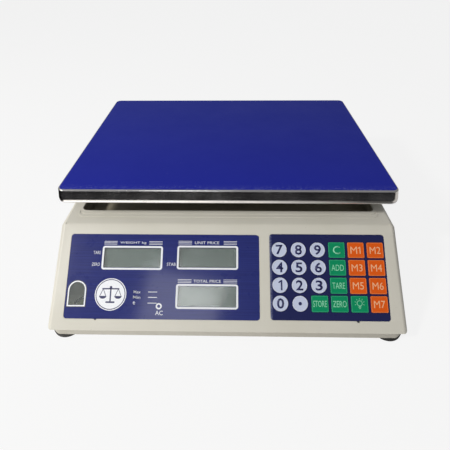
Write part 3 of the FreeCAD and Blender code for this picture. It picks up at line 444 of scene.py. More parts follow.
def printedPanel(name, look):
    # a colour printed behind clear hard-coated film, with the maker's fine drawn lines
    material, tree, shader = newMaterial(name)
    drawn = grain(tree, 1.6 * mm, 3, 0.6, (0.03, 5, 5))
    soft = grain(tree, 35 * mm, 2, shift=(1, 2, 5))
    colour = mixColour(tree, remap(tree, drawn, 0.3, 0.7), look["colour"], look["lines"])
    colour = mixColour(tree, remap(tree, soft, 0.35, 0.7, 0, 0.5), colour, look["soft"])
    if "liftedEdge" in look:
        across = axisOf(tree, 0)
        near = remap(tree, across, look["liftedEdge"] + look["liftedWidth"], look["liftedEdge"], 0, 1)
        specks = remap(tree, grain(tree, 0.8 * mm, 3, 0.7), 0.42, 0.6)
        colour = mixColour(tree, times(tree, specks, near), colour, look["lifted"])
    tree.links.new(colour, shader.inputs["Base Color"])
    rough = remap(tree, grain(tree, 12 * mm, 3), 0.3, 0.7, look["rough"] - 0.04, look["rough"] + 0.05)
    tree.links.new(rough, shader.inputs["Roughness"])
    tree.links.new(bump(tree, drawn, 0.006 * mm, 0.5), shader.inputs["Normal"])
    shader.inputs["Specular IOR Level"].default_value = 0.14
    shader.inputs["Coat Weight"].default_value = 0.55
    shader.inputs["Coat Roughness"].default_value = 0.12
    return material


displayPanel = printedPanel(
    "displayPanel",
    {"colour": tint(20, 28, 92), "lines": tint(40, 50, 128), "soft": tint(34, 44, 112), "rough": 0.3},
)
keypadLow = faceBox("keypad_overlay")[0]
keypadPanel = printedPanel(
    "keypadPanel",
    {
        "colour": tint(22, 27, 78),
        "lines": tint(25, 31, 84),
        "soft": tint(28, 34, 86),
        "rough": 0.3,
        "liftedEdge": keypadLow.x,
        "liftedWidth": 2.4 * mm,
        "lifted": tint(150, 156, 190),
    },
)


def ink(name, colour, worn, rough=0.45):
    # screen ink, a little uneven where it went down thin
    material, tree, shader = newMaterial(name)
    thin = remap(tree, grain(tree, 1.5 * mm, 3, 0.6), 0.4, 0.75, 0, 0.5)
    tree.links.new(mixColour(tree, thin, colour, worn), shader.inputs["Base Color"])
    relief = grain(tree, 0.5 * mm, 2)
    tree.links.new(bump(tree, relief, 0.005 * mm, 0.4), shader.inputs["Normal"])
    tree.links.new(remap(tree, relief, 0.3, 0.7, rough - 0.05, rough + 0.05), shader.inputs["Roughness"])
    return material


whiteInk = ink("whiteInk", tint(244, 246, 250), tint(222, 226, 236))
navyInk = ink("navyInk", tint(24, 28, 84), tint(36, 42, 100))
greenInk = ink("greenInk", tint(150, 222, 186), tint(120, 204, 160))
orangeInk = ink("orangeInk", tint(246, 190, 146), tint(236, 164, 116))
haloInk = ink("haloInk", tint(14, 18, 60), tint(18, 22, 70))


def keyPlastic(name, look):
    # embossed key top: the raised rim is painted lighter than the dished middle, a painted highlight
    low, high = faceBox("key_7")
    material, tree, shader = newMaterial(name)
    height = alongOutward(tree)
    rim = remap(tree, height, high.z - 0.16 * mm, high.z - 0.04 * mm, 0, look["rimHighlightShare"])
    fine = grain(tree, 0.6 * mm, 2)
    colour = mixColour(tree, remap(tree, fine, 0.35, 0.7), look["colour"], look["fleck"])
    soft = grain(tree, 14 * mm, 2)
    colour = mixColour(tree, remap(tree, soft, 0.35, 0.7, 0, 0.3), colour, look["drift"])
    colour = mixColour(tree, rim, colour, look["rim"])
    tree.links.new(colour, shader.inputs["Base Color"])
    tree.links.new(remap(tree, fine, 0.3, 0.7, 0.36, 0.46), shader.inputs["Roughness"])
    tree.links.new(bump(tree, fine, 0.01 * mm, 0.5), shader.inputs["Normal"])
    shader.inputs["Specular IOR Level"].default_value = 0.2
    return material


keyFinishes = {
    "lavender": keyPlastic(
        "keyLavender",
        {
            "colour": tint(204, 212, 234),
            "fleck": tint(196, 205, 230),
            "drift": tint(192, 200, 226),
            "rim": tint(222, 227, 242),
            "rimHighlightShare": 0.7,
        },
    ),
    "green": keyPlastic(
        "keyGreen",
        {
            "colour": tint(2, 146, 98),
            "fleck": tint(4, 138, 92),
            "drift": tint(4, 134, 88),
            "rim": tint(60, 176, 130),
            "rimHighlightShare": 0.6,
        },
    ),
    "orange": keyPlastic(
        "keyOrange",
        {
            "colour": tint(232, 96, 20),
            "fleck": tint(224, 90, 16),
            "drift": tint(218, 88, 18),
            "rim": tint(236, 138, 76),
            "rimHighlightShare": 0.6,
        },
    ),
}


def lcdGlass():
    # unlit reflective display: grey-green polariser with fine lines
    material, tree, shader = newMaterial("lcdFace")
    lines = grain(tree, 1.2 * mm, 2, 0.6, (0.04, 4, 4))
    cloud = grain(tree, 20 * mm, 2)
    colour = mixColour(tree, remap(tree, lines, 0.3, 0.7), tint(60, 72, 69), tint(74, 86, 83))
    colour = mixColour(tree, remap(tree, cloud, 0.3, 0.7, 0, 0.4), colour, tint(54, 66, 63))
    tree.links.new(colour, shader.inputs["Base Color"])
    tree.links.new(remap(tree, cloud, 0.3, 0.7, 0.22, 0.3), shader.inputs["Roughness"])
    tree.links.new(bump(tree, lines, 0.003 * mm, 0.4), shader.inputs["Normal"])
    return material


lcdFace = lcdGlass()


def clearSheet():
    # thin clear window: lamps reach what is behind it
    material, tree, shader = newMaterial("clearWindow")
    streaks = grain(tree, 1.4 * mm, 2, 0.6, (0.03, 4, 4))
    hazy = mixColour(tree, remap(tree, streaks, 0.35, 0.65), tint(236, 240, 238), tint(216, 222, 222))
    tree.links.new(hazy, shader.inputs["Base Color"])
    # the rest of the light is scattered by a fine haze
    shader.inputs["Transmission Weight"].default_value = 0.93
    shader.inputs["IOR"].default_value = 1.49
    smudge = grain(tree, 9 * mm, 3, 0.6)
    tree.links.new(remap(tree, smudge, 0.4, 0.75, 0.1, 0.16), shader.inputs["Roughness"])
    path = addNode(tree, "LightPath")
    through = addNode(tree, "BsdfTransparent", {"Color": tint(232, 236, 234)})
    ways = {0: path.outputs["Is Shadow Ray"], 1: shader.outputs[0], 2: through.outputs[0]}
    mixed = addNode(tree, "MixShader", ways)
    tree.links.new(mixed.outputs[0], outputOf(tree).inputs[0])
    return material


clearWindow = clearSheet()


def satinMetal(name, colour, other, rough, stretch=(1, 1, 1), size=1.2 * mm, pits=0.02 * mm):
    # metal with a brushed or pitted skin and slow clouds of a second shade
    material, tree, shader = newMaterial(name)
    lines = grain(tree, size, 3, 0.6, stretch)
    cloud = grain(tree, 18 * mm, 3)
    blend = mixColour(tree, remap(tree, cloud, 0.3, 0.7), colour, other)
    tree.links.new(blend, shader.inputs["Base Color"])
    tree.links.new(remap(tree, lines, 0.3, 0.7, rough - 0.06, rough + 0.08), shader.inputs["Roughness"])
    tree.links.new(bump(tree, lines, pits, 0.5), shader.inputs["Normal"])
    shader.inputs["Metallic"].default_value = 1
    return material


castPits = 0.08 * mm
# the casting is painted dark grey: painted shade, as it sits in the tray's shadow in the well
shadedCastAluminium = satinMetal("shadedCastAluminium", tint(128, 128, 130), tint(108, 108, 108), 0.5, pits=castPits)
cellAluminium = satinMetal("cellAluminium", tint(204, 205, 208), tint(190, 191, 196), 0.28, (1, 12, 12))
platedSteel = satinMetal("platedSteel", tint(190, 190, 186), tint(168, 168, 162), 0.3, pits=0.01 * mm)
copperWire = satinMetal("copperWire", tint(176, 98, 58), tint(160, 84, 46), 0.36, (0.2, 8, 8))


def softRubber(name, colour, dustAndShade, rough=0.72):
    # rubber or matt plastic, dusty in patches
    material, tree, shader = newMaterial(name)
    dust = remap(tree, grain(tree, 2.5 * mm, 4, 0.6), 0.45, 0.75, 0, 0.5)
    tree.links.new(mixColour(tree, dust, colour, dustAndShade), shader.inputs["Base Color"])
    fine = grain(tree, 0.5 * mm, 2)
    tree.links.new(remap(tree, fine, 0.3, 0.7, rough - 0.06, rough + 0.06), shader.inputs["Roughness"])
    tree.links.new(bump(tree, fine, 0.02 * mm, 0.5), shader.inputs["Normal"])
    return material


footRubber = softRubber("footRubber", tint(26, 26, 27), tint(52, 51, 49))
padRubber = softRubber("padRubber", tint(32, 32, 34), tint(58, 57, 56))
# a near-black finish for the frames that stand in for shade in the display windows
shadeFrameDark = softRubber("shadeFrameDark", tint(22, 23, 26), tint(34, 35, 38), 0.85)
switchBlack = softRubber("switchBlack", tint(28, 28, 30), tint(44, 44, 46), 0.42)
batteryCase = softRubber("batteryCase", tint(44, 46, 50), tint(60, 62, 66), 0.5)


def circuitLaminate():
    # green solder mask with copper tracks under it
    material, tree, shader = newMaterial("circuitBoard")
    settings = {
        "Vector": place(tree),
        "Scale": 260.0,
        "Mortar Size": 0.06,
        "Mortar Smooth": 0.2,
        "Color1": tint(20, 84, 50),
        "Color2": tint(18, 76, 46),
        "Mortar": tint(52, 122, 78),
    }
    tracks = addNode(tree, "TexBrick", settings)
    tree.links.new(tracks.outputs["Color"], shader.inputs["Base Color"])
    tree.links.new(remap(tree, grain(tree, 3 * mm), 0.3, 0.7, 0.3, 0.42), shader.inputs["Roughness"])
    tree.links.new(bump(tree, tracks.outputs["Fac"], 0.03 * mm, 0.4), shader.inputs["Normal"])
    return material


circuitBoard = circuitLaminate()
print("finishes ready")


smoothTwin("upper_housing", "upperShell", housingPlastic, "housing", 32)
smoothTwin("lower_housing", "lowerShell", shadedBasePlastic, "housing", 32)
print("housing done")


def pressTray():
    # one sheet, pressed over a rounded edge into a flaring rim whose foot rolls under
    size = {
        "sheet": 0.8 * mm,
        "flare": 2.2 * mm,
        "rollRise": 5.2 * mm,
        "rollUnder": 0.9 * mm,
        "footRise": 1.3 * mm,
        "rollShare": 0.45,
        "rollTurn": 40,
        "topRound": 2.0 * mm,
        "topRing": 1.2 * mm,
        "corner": 9 * mm,
        "wave": 0.3 * mm,
    }
    low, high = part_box("tray")
    height = high.z - low.z
    bm = bmesh.new()
    under = size["rollUnder"]
    wide = high.x - low.x - 2 * under
    deep = high.y - low.y - 2 * under
    face = plate(bm, wide, deep, size["corner"] - under, 14)

    def arc(wide, tall, fromAngle, toAngle, turns):
        # part of an ellipse, from one slope of the wall to the next
        for index in range(turns):
            start = math.radians(fromAngle + (toAngle - fromAngle) * index / turns)
            end = math.radians(fromAngle + (toAngle - fromAngle) * (index + 1) / turns)
            inwards = wide * (math.cos(start) - math.cos(end))
            inset(bm, face, inwards, tall * (math.sin(end) - math.sin(start)))

    # below its widest line the rim curves in again
    arc(under, size["footRise"], -90, 0, 6)
    rollWide = size["flare"] * size["rollShare"]
    arc(rollWide, size["rollRise"], 0, size["rollTurn"], 7)
    rollTurn = math.radians(size["rollTurn"])
    leaned = rollWide * (1 - math.cos(rollTurn))
    risen = size["footRise"] + size["rollRise"] * math.sin(rollTurn)
    straight = height - risen - size["topRound"]
    wallRings = 5
    for index in range(wallRings):
        inset(bm, face, (size["flare"] - leaned) / wallRings, straight / wallRings)
    arc(size["topRound"], size["topRound"], 0, 90, 12)
    for index in range(3):
        inset(bm, face, size["topRing"], 0)
    middle = (low + high) / 2
    bmesh.ops.translate(bm, vec=(middle.x, middle.y, low.z), verts=bm.verts)
    # a pressed rim is never quite true: it waves inwards a little along its length
    for v in bm.verts:
        side = Vector((v.co.x - middle.x, v.co.y - middle.y, 0))
        drop = (high.z - v.co.z) / height
        if drop > 0.02:
            wave = noise.noise(Vector((v.co.x * 11 + 3, v.co.y * 11, v.co.z * 40)))
            inward = size["wave"] * drop * (1 - drop) * 4 * (0.4 + 0.6 * wave)
            v.co -= side.normalized() * inward
    piece = newPiece("trayPan", bm, [traySteel], "tray", 60)
    wall = piece.modifiers.new("sheet", "SOLIDIFY")
    wall.thickness = size["sheet"]
    wall.offset = -1
    wall.use_even_offset = True
    keepFlats(piece)
    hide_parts("tray")


pressTray()


def layFilm():
    # the protective film, cut a little smaller than the pan and turned down at its edge
    shape = {"corner": 5.5 * mm, "lift": 0.005 * mm}
    edgeSteps = [(0.01 * mm, 0.1 * mm), (0.08 * mm, 0.08 * mm), (0.3 * mm, 0.0)]
    low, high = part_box("tray_film")
    bm = bmesh.new()
    face = plate(bm, high.x - low.x, high.y - low.y, shape["corner"], 10)
    for inwards, upwards in edgeSteps:
        inset(bm, face, inwards, upwards)
    middle = (low + high) / 2
    bmesh.ops.translate(bm, vec=(middle.x, middle.y, low.z + shape["lift"]), verts=bm.verts)
    piece = newPiece("filmSheet", bm, [trayFilm], "tray", 40)
    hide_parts("tray_film")


layFilm()
print("tray done")


smoothTwin("platform_bracket", "platformCasting", shadedCastAluminium, "platform", 30)
smoothTwin("platform_pads", "restingPads", padRubber, "platform", 30)
smoothTwin("cell_top_screws", "platformScrews", platedSteel, "platform", 30)
smoothTwin("load_cell", "weighBeam", cellAluminium, "housing", 30)
print("platform done")


panelLow, panelHigh = faceBox("display_overlay")
printDepth = 0.02 * mm


def onDisplay(across, down, lift=0.0):
    # place on the display panel, from its upper left corner
    return faceMatrix(panelLow.x + across, panelHigh.y - down, panelHigh.z + lift)


# Frame, windows and the dark shade frames are in metres. The rest is in millimetres, from the panel's
# upper left corner.
displayLayout = {
    "frame": (61.5 * mm, 24.0 * mm, 2.5 * mm, 1.8 * mm),
    "windows": [(63.9 * mm, 24.1 * mm), (140.1 * mm, 23.4 * mm), (140.2 * mm, 61.8 * mm)],
    # words, middle, down, width, then where the bars start and end left and right of them
    "headings": [
        ("WEIGHT kg", 64.0, 8.9, 26.8, 34.4, 47.6, 80.4, 93.9),
        ("UNIT PRICE", 139.4, 8.3, 24.9, 110.3, 124.0, 156.3, 169.6),
        ("TOTAL PRICE", 140.3, 46.9, 27.3, 110.9, 124.5, 156.4, 169.9),
    ],
    "headingTall": 2.9,
    "barTall": 0.45,
    "barPitch": 1.45,
    # words, middle, down, width
    "sideWords": [
        ("TARE", 27.75, 19.0, 7.5),
        ("ZERO", 27.45, 30.9, 8.1),
        ("STAB", 103.75, 30.4, 8.9),
    ],
    "sideTall": 3.2,
    # middle, down, width, height, line
    "arch": (11.0, 59.9, 15.4, 22.4, 1.3),
    "archGap": 0.05,
    "haloLine": 0.8,
    # middle, down, radius
    "badge": (44.7, 60.5, 15.7),
    # words, width, down
    "ratings": [("Max", 7.0, 57.9), ("Min", 7.0, 63.1), ("e", 2.2, 68.6)],
    "ratingLeft": 67.5,
    # middle, width, height
    "ratingBar": (86.5, 9, 0.6),
    # middle, down, outer and inner radius
    "lamp": (93.2, 71.5, 3.0, 1.6),
    # word, middle, down, width, height
    "lampWord": ("AC", 93.7, 77.85, 7.4, 4.1),
}


def archOutline(width, height, grow):
    # a round-topped arch, as one flat face round the middle of its box
    bm = bmesh.new()
    half = width / 2 + grow
    spring = height / 2 - width / 2
    foot = -height / 2 - grow
    bmesh.ops.create_circle(bm, cap_ends=False, radius=half, segments=48)
    bmesh.ops.translate(bm, vec=(0, spring, 0), verts=bm.verts)
    lower = [v for v in bm.verts if v.co.y < spring - 1e-6]
    bmesh.ops.delete(bm, geom=lower, context="VERTS")
    sides = sorted(bm.verts, key=lambda v: (v.co.y, v.co.x))[:2]
    feet = [bm.verts.new((v.co.x, foot, 0)) for v in sides]
    for side, end in zip(sides, feet):
        bm.edges.new((side, end))
    bm.edges.new(feet)
    bmesh.ops.contextual_create(bm, geom=bm.edges[:])
    bmesh.ops.recalc_face_normals(bm, faces=bm.faces)
    if bm.faces[:][0].normal.z < 0:
        bmesh.ops.reverse_faces(bm, faces=bm.faces)
    return bm


def archRing(width, height, inner, outer, depth):
    bm = archOutline(width, height, outer)
    return hollow(bm, bm.faces[:][0], outer - inner, depth)


def printDisplay():
    plan = displayLayout
    white = bmesh.new()
    dark = bmesh.new()

    def word(words, middle, down, wide, tall, weight):
        drawn = lettering(words, tall * mm, wide * mm, weight, printDepth)
        collect(white, drawn, onDisplay(middle * mm, down * mm))

    width, height, radius, line = plan["frame"]
    for across, down in plan["windows"]:
        collect(white, plateRing(width, height, radius, line, printDepth), onDisplay(across, down))
    for words, middle, down, wide, barA, barB, barC, barD in plan["headings"]:
        word(words, middle, down, wide, plan["headingTall"], 0.004)
        for start, end in ((barA, barB), (barC, barD)):
            for row in (-1, 0, 1):
                where = onDisplay((start + end) / 2 * mm, (down + plan["barPitch"] * row) * mm)
                collect(white, bar((end - start) * mm, plan["barTall"] * mm, printDepth), where)
    for words, middle, down, wide in plan["sideWords"]:
        word(words, middle, down, wide, plan["sideTall"], 0.003)
    across, down, width, height, line = plan["arch"]
    where = onDisplay(across * mm, down * mm)
    gap = plan["archGap"] * mm
    halo = (line + plan["haloLine"]) * mm
    collect(white, archRing(width * mm, height * mm, gap, line * mm, printDepth), where)
    collect(dark, archRing(width * mm, height * mm, line * mm, halo, printDepth), where)
    barMiddle, barWide, barTall = plan["ratingBar"]
    for words, wide, down in plan["ratings"]:
        word(words, plan["ratingLeft"] + wide / 2, down, wide, plan["headingTall"], 0.004)
        stroke = bar(barWide * mm, barTall * mm, printDepth)
        collect(white, stroke, onDisplay(barMiddle * mm, down * mm))
    across, down, outer, inner = plan["lamp"]
    ring = discRing(outer * mm, inner * mm, printDepth)
    collect(white, ring, onDisplay(across * mm, down * mm))
    words, across, down, wide, tall = plan["lampWord"]
    word(words, across, down, wide, tall, 0.0)
    newPiece("displayPrint", white, [whiteInk], "housing")
    newPiece("archHalo", dark, [haloInk], "housing")


printDisplay()


def printBadge():
    # a plain round badge with a beam balance on it
    across, down, radius = (value * mm for value in displayLayout["badge"])
    ground = bmesh.new()
    collect(ground, disc(radius, printDepth, 64), onDisplay(across, down))
    newPiece("badgeGround", ground, [whiteInk], "housing")
    drawing = bmesh.new()

    def draw(shape, x, y, turn=0.0):
        where = onDisplay(across + x * mm, down - y * mm, printDepth)
        collect(drawing, shape, where @ Matrix.Rotation(turn, 4, "Z"))

    draw(discRing(radius - 0.9 * mm, radius - 1.7 * mm, printDepth, 64), 0, 0)
    draw(bar(1.3 * mm, 13 * mm, printDepth, 0.3 * mm), 0, -0.5)
    draw(bar(17 * mm, 1.3 * mm, printDepth, 0.5 * mm), 0, 5.4)
    draw(bar(9 * mm, 1.6 * mm, printDepth, 0.6 * mm), 0, -7.6)
    draw(disc(1.3 * mm, printDepth, 24), 0, 6.8)
    for side in (-1, 1):
        # two strings and a half-round pan hang from each arm
        for lean in (-1, 1):
            string = bar(0.55 * mm, 7.6 * mm, printDepth)
            draw(string, side * 7.6 + lean * 1.5, 1.9, lean * math.radians(23))
        pan = bmesh.new()
        bmesh.ops.create_circle(pan, cap_ends=True, radius=3.6 * mm, segments=40)
        whole = pan.verts[:] + pan.edges[:] + pan.faces[:]
        bmesh.ops.bisect_plane(
            pan, geom=whole, plane_co=(0, 0, 0), plane_no=(0, 1, 0), clear_outer=True
        )
        bmesh.ops.scale(pan, vec=(1, 0.75, 1), verts=pan.verts)
        thicken(pan, list(pan.faces), printDepth)
        draw(pan, side * 7.6, -1.6)
    newPiece("badgeDrawing", drawing, [navyInk], "housing")


printBadge()


def printRear():
    # the buyer's side says which amount each window shows
    look = {
        "tall": 2.9 * mm,
        "above": 3.4 * mm,
        "gap": 3 * mm,
        "grow": 0.5 * mm,
        "line": 0.45 * mm,
    }
    headings = (("WEIGHT", 13), ("UNIT PRICE", 20), ("TOTAL PRICE", 22))
    panelTop = corners(turnedPoints("rear_overlay", rearTurn))[1].z
    # a window has corners only at its two ends, so its points fall into two groups
    ends = []
    for point in sorted(turnedPoints("rear_windows", rearTurn), key=lambda p: p.x):
        if not ends or point.x - ends[-1][-1].x > look["gap"]:
            ends.append([])
        ends[-1].append(point)
    white = bmesh.new()
    for index, (words, wide) in enumerate(headings):
        group = ends[2 * index] + ends[2 * index + 1]
        low, high = corners(group)
        middle = (low.x + high.x) / 2
        above = rearTurn @ Matrix.Translation((middle, high.y + look["above"], panelTop))
        collect(white, lettering(words, look["tall"], wide * mm, 0.004, printDepth), above)
        centre = rearTurn @ Matrix.Translation((middle, (low.y + high.y) / 2, panelTop))
        wideFrame = high.x - low.x + 2 * look["grow"]
        tallFrame = high.y - low.y + 2 * look["grow"]
        collect(white, plateRing(wideFrame, tallFrame, 0, look["line"], printDepth), centre)
    newPiece("rearPrint", white, [whiteInk])


printRear()


def fitGaskets():
    # dark frames between the panel and each display, a dark sheet that stands in for the shadow inside each
    # window's recess
    shape = {
        "wide": 58.0 * mm,
        "tall": 19.8 * mm,
        "grow": 0.95 * mm,
        "front": 0.62 * mm,
        "overlap": 0.3 * mm,
        "clearance": 0.02 * mm,
    }
    lcdHigh = faceBox("front_lcds")[1]
    depth = panelHigh.z - shape["front"] - lcdHigh.z - shape["clearance"]
    frames = bmesh.new()
    for across, down in displayLayout["windows"]:
        where = onDisplay(across, down, -shape["front"] - depth)
        wide = shape["wide"] + 2 * shape["grow"]
        tall = shape["tall"] + 2 * shape["grow"]
        collect(frames, plateRing(wide, tall, 0, shape["grow"] + shape["overlap"], depth), where)
    newPiece("windowGaskets", frames, [shadeFrameDark], "housing")


fitGaskets()
dress("display_overlay", displayPanel)
dress("display_windows", clearWindow)
dress("front_lcds", lcdFace)
dress("front_display_board", circuitBoard)
print("display panel done")


# words, width and height in millimetres, and how far the strokes are thickened
legends = {
    "clear": ("C", 7.2, 8.2, 0.006),
    "add": ("ADD", 12.2, 6.0, 0),
    "tare": ("TARE", 12.4, 6.0, 0),
    "store": ("STORE", 13.3, 6.0, 0),
    "zero": ("ZERO", 13.2, 6.0, 0),
}
for number in range(10):
    legends[str(number)] = (str(number), 7.0, 9.9, 0.022)
for number in range(1, 8):
    legends["m" + str(number)] = ("M" + str(number), 10.8, 7.0, 0)
greenKeys = ("clear", "add", "tare", "store", "zero", "light")
legendInks = {"lavender": navyInk, "green": greenInk, "orange": orangeInk}
printSink = 0.18 * mm  # the legend lies in the cap's dish, below its rim


def oneLegend(tall, stroke):
    # the figure one: an upright with a short flag
    bm = bmesh.new()
    flag = tall * 0.36
    collect(bm, bar(stroke, tall, printDepth), Matrix.Translation((stroke, 0, 0)))
    lean = Matrix.Rotation(math.radians(-52), 4, "Z")
    where = Matrix.Translation((stroke - flag * 0.42, tall / 2 - flag * 0.42, 0))
    collect(bm, bar(stroke * 0.85, flag, printDepth), where @ lean)
    return bm


def bulbLegend():
    # the outline of a small lamp with rays
    bm = bmesh.new()
    bulb = {
        "centre": 0.9 * mm,
        "outer": 2.7 * mm,
        "inner": 2.2 * mm,
        "rayFrom": 3.6 * mm,
        "ray": 1.3 * mm,
        "rayWide": 0.45 * mm,
        "rayTurn": 36,
    }
    centre = Matrix.Translation((0, bulb["centre"], 0))
    collect(bm, discRing(bulb["outer"], bulb["inner"], printDepth, 32), centre.copy())
    # the cap of the lamp is three short bars
    for wide, down in ((2.4, 2.3), (2.4, 3.2), (1.6, 4.1)):
        collect(bm, bar(wide * mm, 0.5 * mm, printDepth), Matrix.Translation((0, -down * mm, 0)))
    for step in range(-3, 4):
        turn = Matrix.Rotation(math.radians(bulb["rayTurn"] * step), 4, "Z")
        reach = Matrix.Translation((0, bulb["rayFrom"] + bulb["ray"] / 2, 0))
        collect(bm, bar(bulb["rayWide"], bulb["ray"], printDepth), centre @ turn @ reach)
    return bm


def m1Legend():
    bm = bmesh.new()
    letter = lettering("M", 7.0 * mm, 6.6 * mm, 0, printDepth)
    collect(bm, letter, Matrix.Translation((-2.1 * mm, 0, 0)))
    collect(bm, oneLegend(7.0 * mm, 0.95 * mm), Matrix.Translation((3.2 * mm, 0, 0)))
    return bm


def fitKeys():
    for node in sorted(nodes):
        if not node.startswith("key_"):
            continue
        name = node[4:]
        if name in greenKeys:
            family = "green"
        else:
            family = "orange" if name.startswith("m") else "lavender"
        low, high = faceBox(node)
        smoothTwin(node, "cap_" + name, keyFinishes[family], node, 40)
        middle = (low + high) / 2
        where = faceMatrix(middle.x, middle.y, high.z - printSink)
        if name == "point":
            shape = disc(1.65 * mm, printDepth, 24)
        elif name == "light":
            shape = bulbLegend()
        elif name == "1":
            shape = oneLegend(9.9 * mm, 1.5 * mm)
        elif name == "m1":
            shape = m1Legend()
        else:
            words, wide, tall, weight = legends[name]
            shape = lettering(words, tall * mm, wide * mm, weight, printDepth)
        printed = bmesh.new()
        collect(printed, shape, where)
        newPiece("legend_" + name, printed, [legendInks[family]], node)


fitKeys()
dress("keypad_overlay", keypadPanel)
dress("keypad_board", circuitBoard)
print("keys done")


for corner in ("front_left", "front_right", "rear_left", "rear_right"):
    node = "foot_" + corner
    smoothTwin(node, "levelling_" + node, footRubber, node, 30)


def levelGlass():
    # a dark moulded cup round a lens over tinted spirit
    low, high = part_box("level_vial")
    middle = (low + high) / 2
    reach = (high.x - low.x) / 2
    material, tree, shader = newMaterial("levelGlass")
    coords = addNode(tree, "TexCoord")
    centred = {0: coords.outputs["Object"], 1: middle}
    where = addNode(tree, "VectorMath", centred, operation="SUBTRACT")
    flat = addNode(tree, "VectorMath", {0: where.outputs[0], 1: (1, 1, 0)}, operation="MULTIPLY")
    radius = addNode(tree, "VectorMath", {0: flat.outputs[0]}, operation="LENGTH").outputs["Value"]
    cup = remap(tree, radius, reach * 0.8, reach * 0.83)
    cloud = grain(tree, 4 * mm, 3)
    spirit = mixColour(tree, remap(tree, cloud, 0.3, 0.7), tint(176, 182, 128), tint(160, 168, 112))
    tree.links.new(mixColour(tree, cup, spirit, tint(58, 58, 62)), shader.inputs["Base Color"])
    fine = grain(tree, 0.6 * mm, 2)
    tree.links.new(bump(tree, fine, 0.004 * mm, 0.4), shader.inputs["Normal"])
    tree.links.new(remap(tree, cloud, 0.3, 0.7, 0.12, 0.24), shader.inputs["Roughness"])
    shader.inputs["Coat Weight"].default_value = 0.5
    return material


def markLevel():
    # the ring printed on the lens, and the bubble resting under it drawn as a white disc, a painted highlight
    low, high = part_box("level_vial")
    middle = (low + high) / 2
    size = {
        "ringOuter": 5.6 * mm,
        "ringInner": 5.0 * mm,
        "ringThick": 0.05 * mm,
        "bubble": 3.6 * mm,
        "bubbleThick": 0.03 * mm,
        "bubbleOff": (0.8 * mm, 0.5 * mm),
        "sink": 0.4 * mm,
    }
    top = high.z - size["sink"]
    marks = bmesh.new()
    ring = discRing(size["ringOuter"], size["ringInner"], size["ringThick"])
    collect(marks, ring, Matrix.Translation((middle.x, middle.y, top)))
    newPiece("levelRing", marks, [haloInk], "housing")
    bubble = bmesh.new()
    across, along = size["bubbleOff"]
    where = Matrix.Translation((middle.x + across, middle.y + along, top))
    collect(bubble, disc(size["bubble"], size["bubbleThick"], 40), where)
    newPiece("levelBubbleHighlight", bubble, [whiteInk], "housing")


smoothTwin("level_vial", "bubbleLevel", levelGlass(), "housing", 30)
markLevel()
plainFinishes = {
    "rear_overlay": displayPanel,
    "rear_windows": clearWindow,
    "rear_lcds": lcdFace,
    "rear_display_board": circuitBoard,
    "main_board": circuitBoard,
    "battery": batteryCase,
    "battery_door": shadedBasePlastic,
    "transformer": copperWire,
    "chassis_plate": platedSteel,
    "cell_base_spacer": cellAluminium,
    "cell_base_screws": platedSteel,
    "chassis_screws": platedSteel,
    "overload_stops": platedSteel,
    "housing_screws": platedSteel,
}
for node, finish in plainFinishes.items():
    dress(node, finish)
smoothTwin("switch_body", "switchCase", switchBlack, "housing", 30)
smoothTwin("switch_rocker", "rockerCap", switchBlack, "rocker", 30)
smoothTwin("power_inlet", "inletCase", switchBlack, "housing", 30)
print("fittings done")


def layFloor():
    # the floor ends in front, just past the view, so the tray's rim mirrors the dark room there
    floor = {"front": -0.29, "back": 2.4, "side": 2.0}
    cards = {
        "back": -0.17,
        "ends": 0.31,
        "edge": 0.03,
        "full": -0.1,
        "fade": 0.22,
        "bright": 1.7,
        "dim": 0.12,
        "pale": 0.5,
    }
    bm = bmesh.new()
    bmesh.ops.create_grid(bm, x_segments=1, y_segments=1, size=0.5)
    bmesh.ops.scale(bm, vec=(2 * floor["side"], floor["back"] - floor["front"], 1), verts=bm.verts)
    bmesh.ops.translate(bm, vec=(0, (floor["back"] + floor["front"]) / 2, 0), verts=bm.verts)
    mesh = bpy.data.meshes.new("floor")
    bm.to_mesh(mesh)
    bm.free()
    material, tree, shader = newMaterial("paleFloor")
    cloud = grain(tree, 0.4, 2)
    tree.links.new(
        mixColour(tree, remap(tree, cloud, 0.3, 0.7), tint(243, 243, 243), tint(241, 241, 241)),
        shader.inputs["Base Color"],
    )
    shader.inputs["Roughness"].default_value = 0.9
    shader.inputs["Specular IOR Level"].default_value = 0.0
    # seen straight, the floor is as evenly bright as an overlit studio table
    path = addNode(tree, "LightPath")
    glow = addNode(tree, "Emission", {"Color": tint(249, 249, 249), "Strength": 1.0})
    share = times(tree, path.outputs["Is Camera Ray"], 0.9)
    mixed = addNode(tree, "MixShader", {0: share, 1: shader.outputs[0], 2: glow.outputs[0]})
    # cards lie in front and at both ends, and only mirrored light sees them: the front one is
    # bright on the left and fades to dim on the right, the left end is dark and the right pale
    across = axisOf(tree, 0)
    front = remap(tree, axisOf(tree, 1), cards["back"] + 0.02, cards["back"])
    ends, edge = cards["ends"], cards["edge"]
    leftEnd = remap(tree, across, -ends, -ends - edge)
    rightEnd = remap(tree, across, ends, ends + edge)
    frontGlow = remap(tree, across, cards["full"], cards["fade"], cards["bright"], cards["dim"])
    glowing = times(tree, frontGlow, remap(tree, leftEnd, 0, 1, 1, 0))
    glowing = plus(tree, glowing, times(tree, rightEnd, cards["pale"]))
    share = plus(tree, plus(tree, front, leftEnd), rightEnd)
    share = times(tree, share, path.outputs["Is Glossy Ray"])
    bright = addNode(tree, "Emission", {"Color": tint(255, 250, 240), "Strength": glowing})
    mixed = addNode(tree, "MixShader", {0: share, 1: mixed.outputs[0], 2: bright.outputs[0]})
    tree.links.new(mixed.outputs[0], outputOf(tree).inputs[0])
    mesh.materials.append(material)
    piece = bpy.data.objects.new("floor", mesh)
    bpy.context.scene.collection.objects.link(piece)


layFloor()


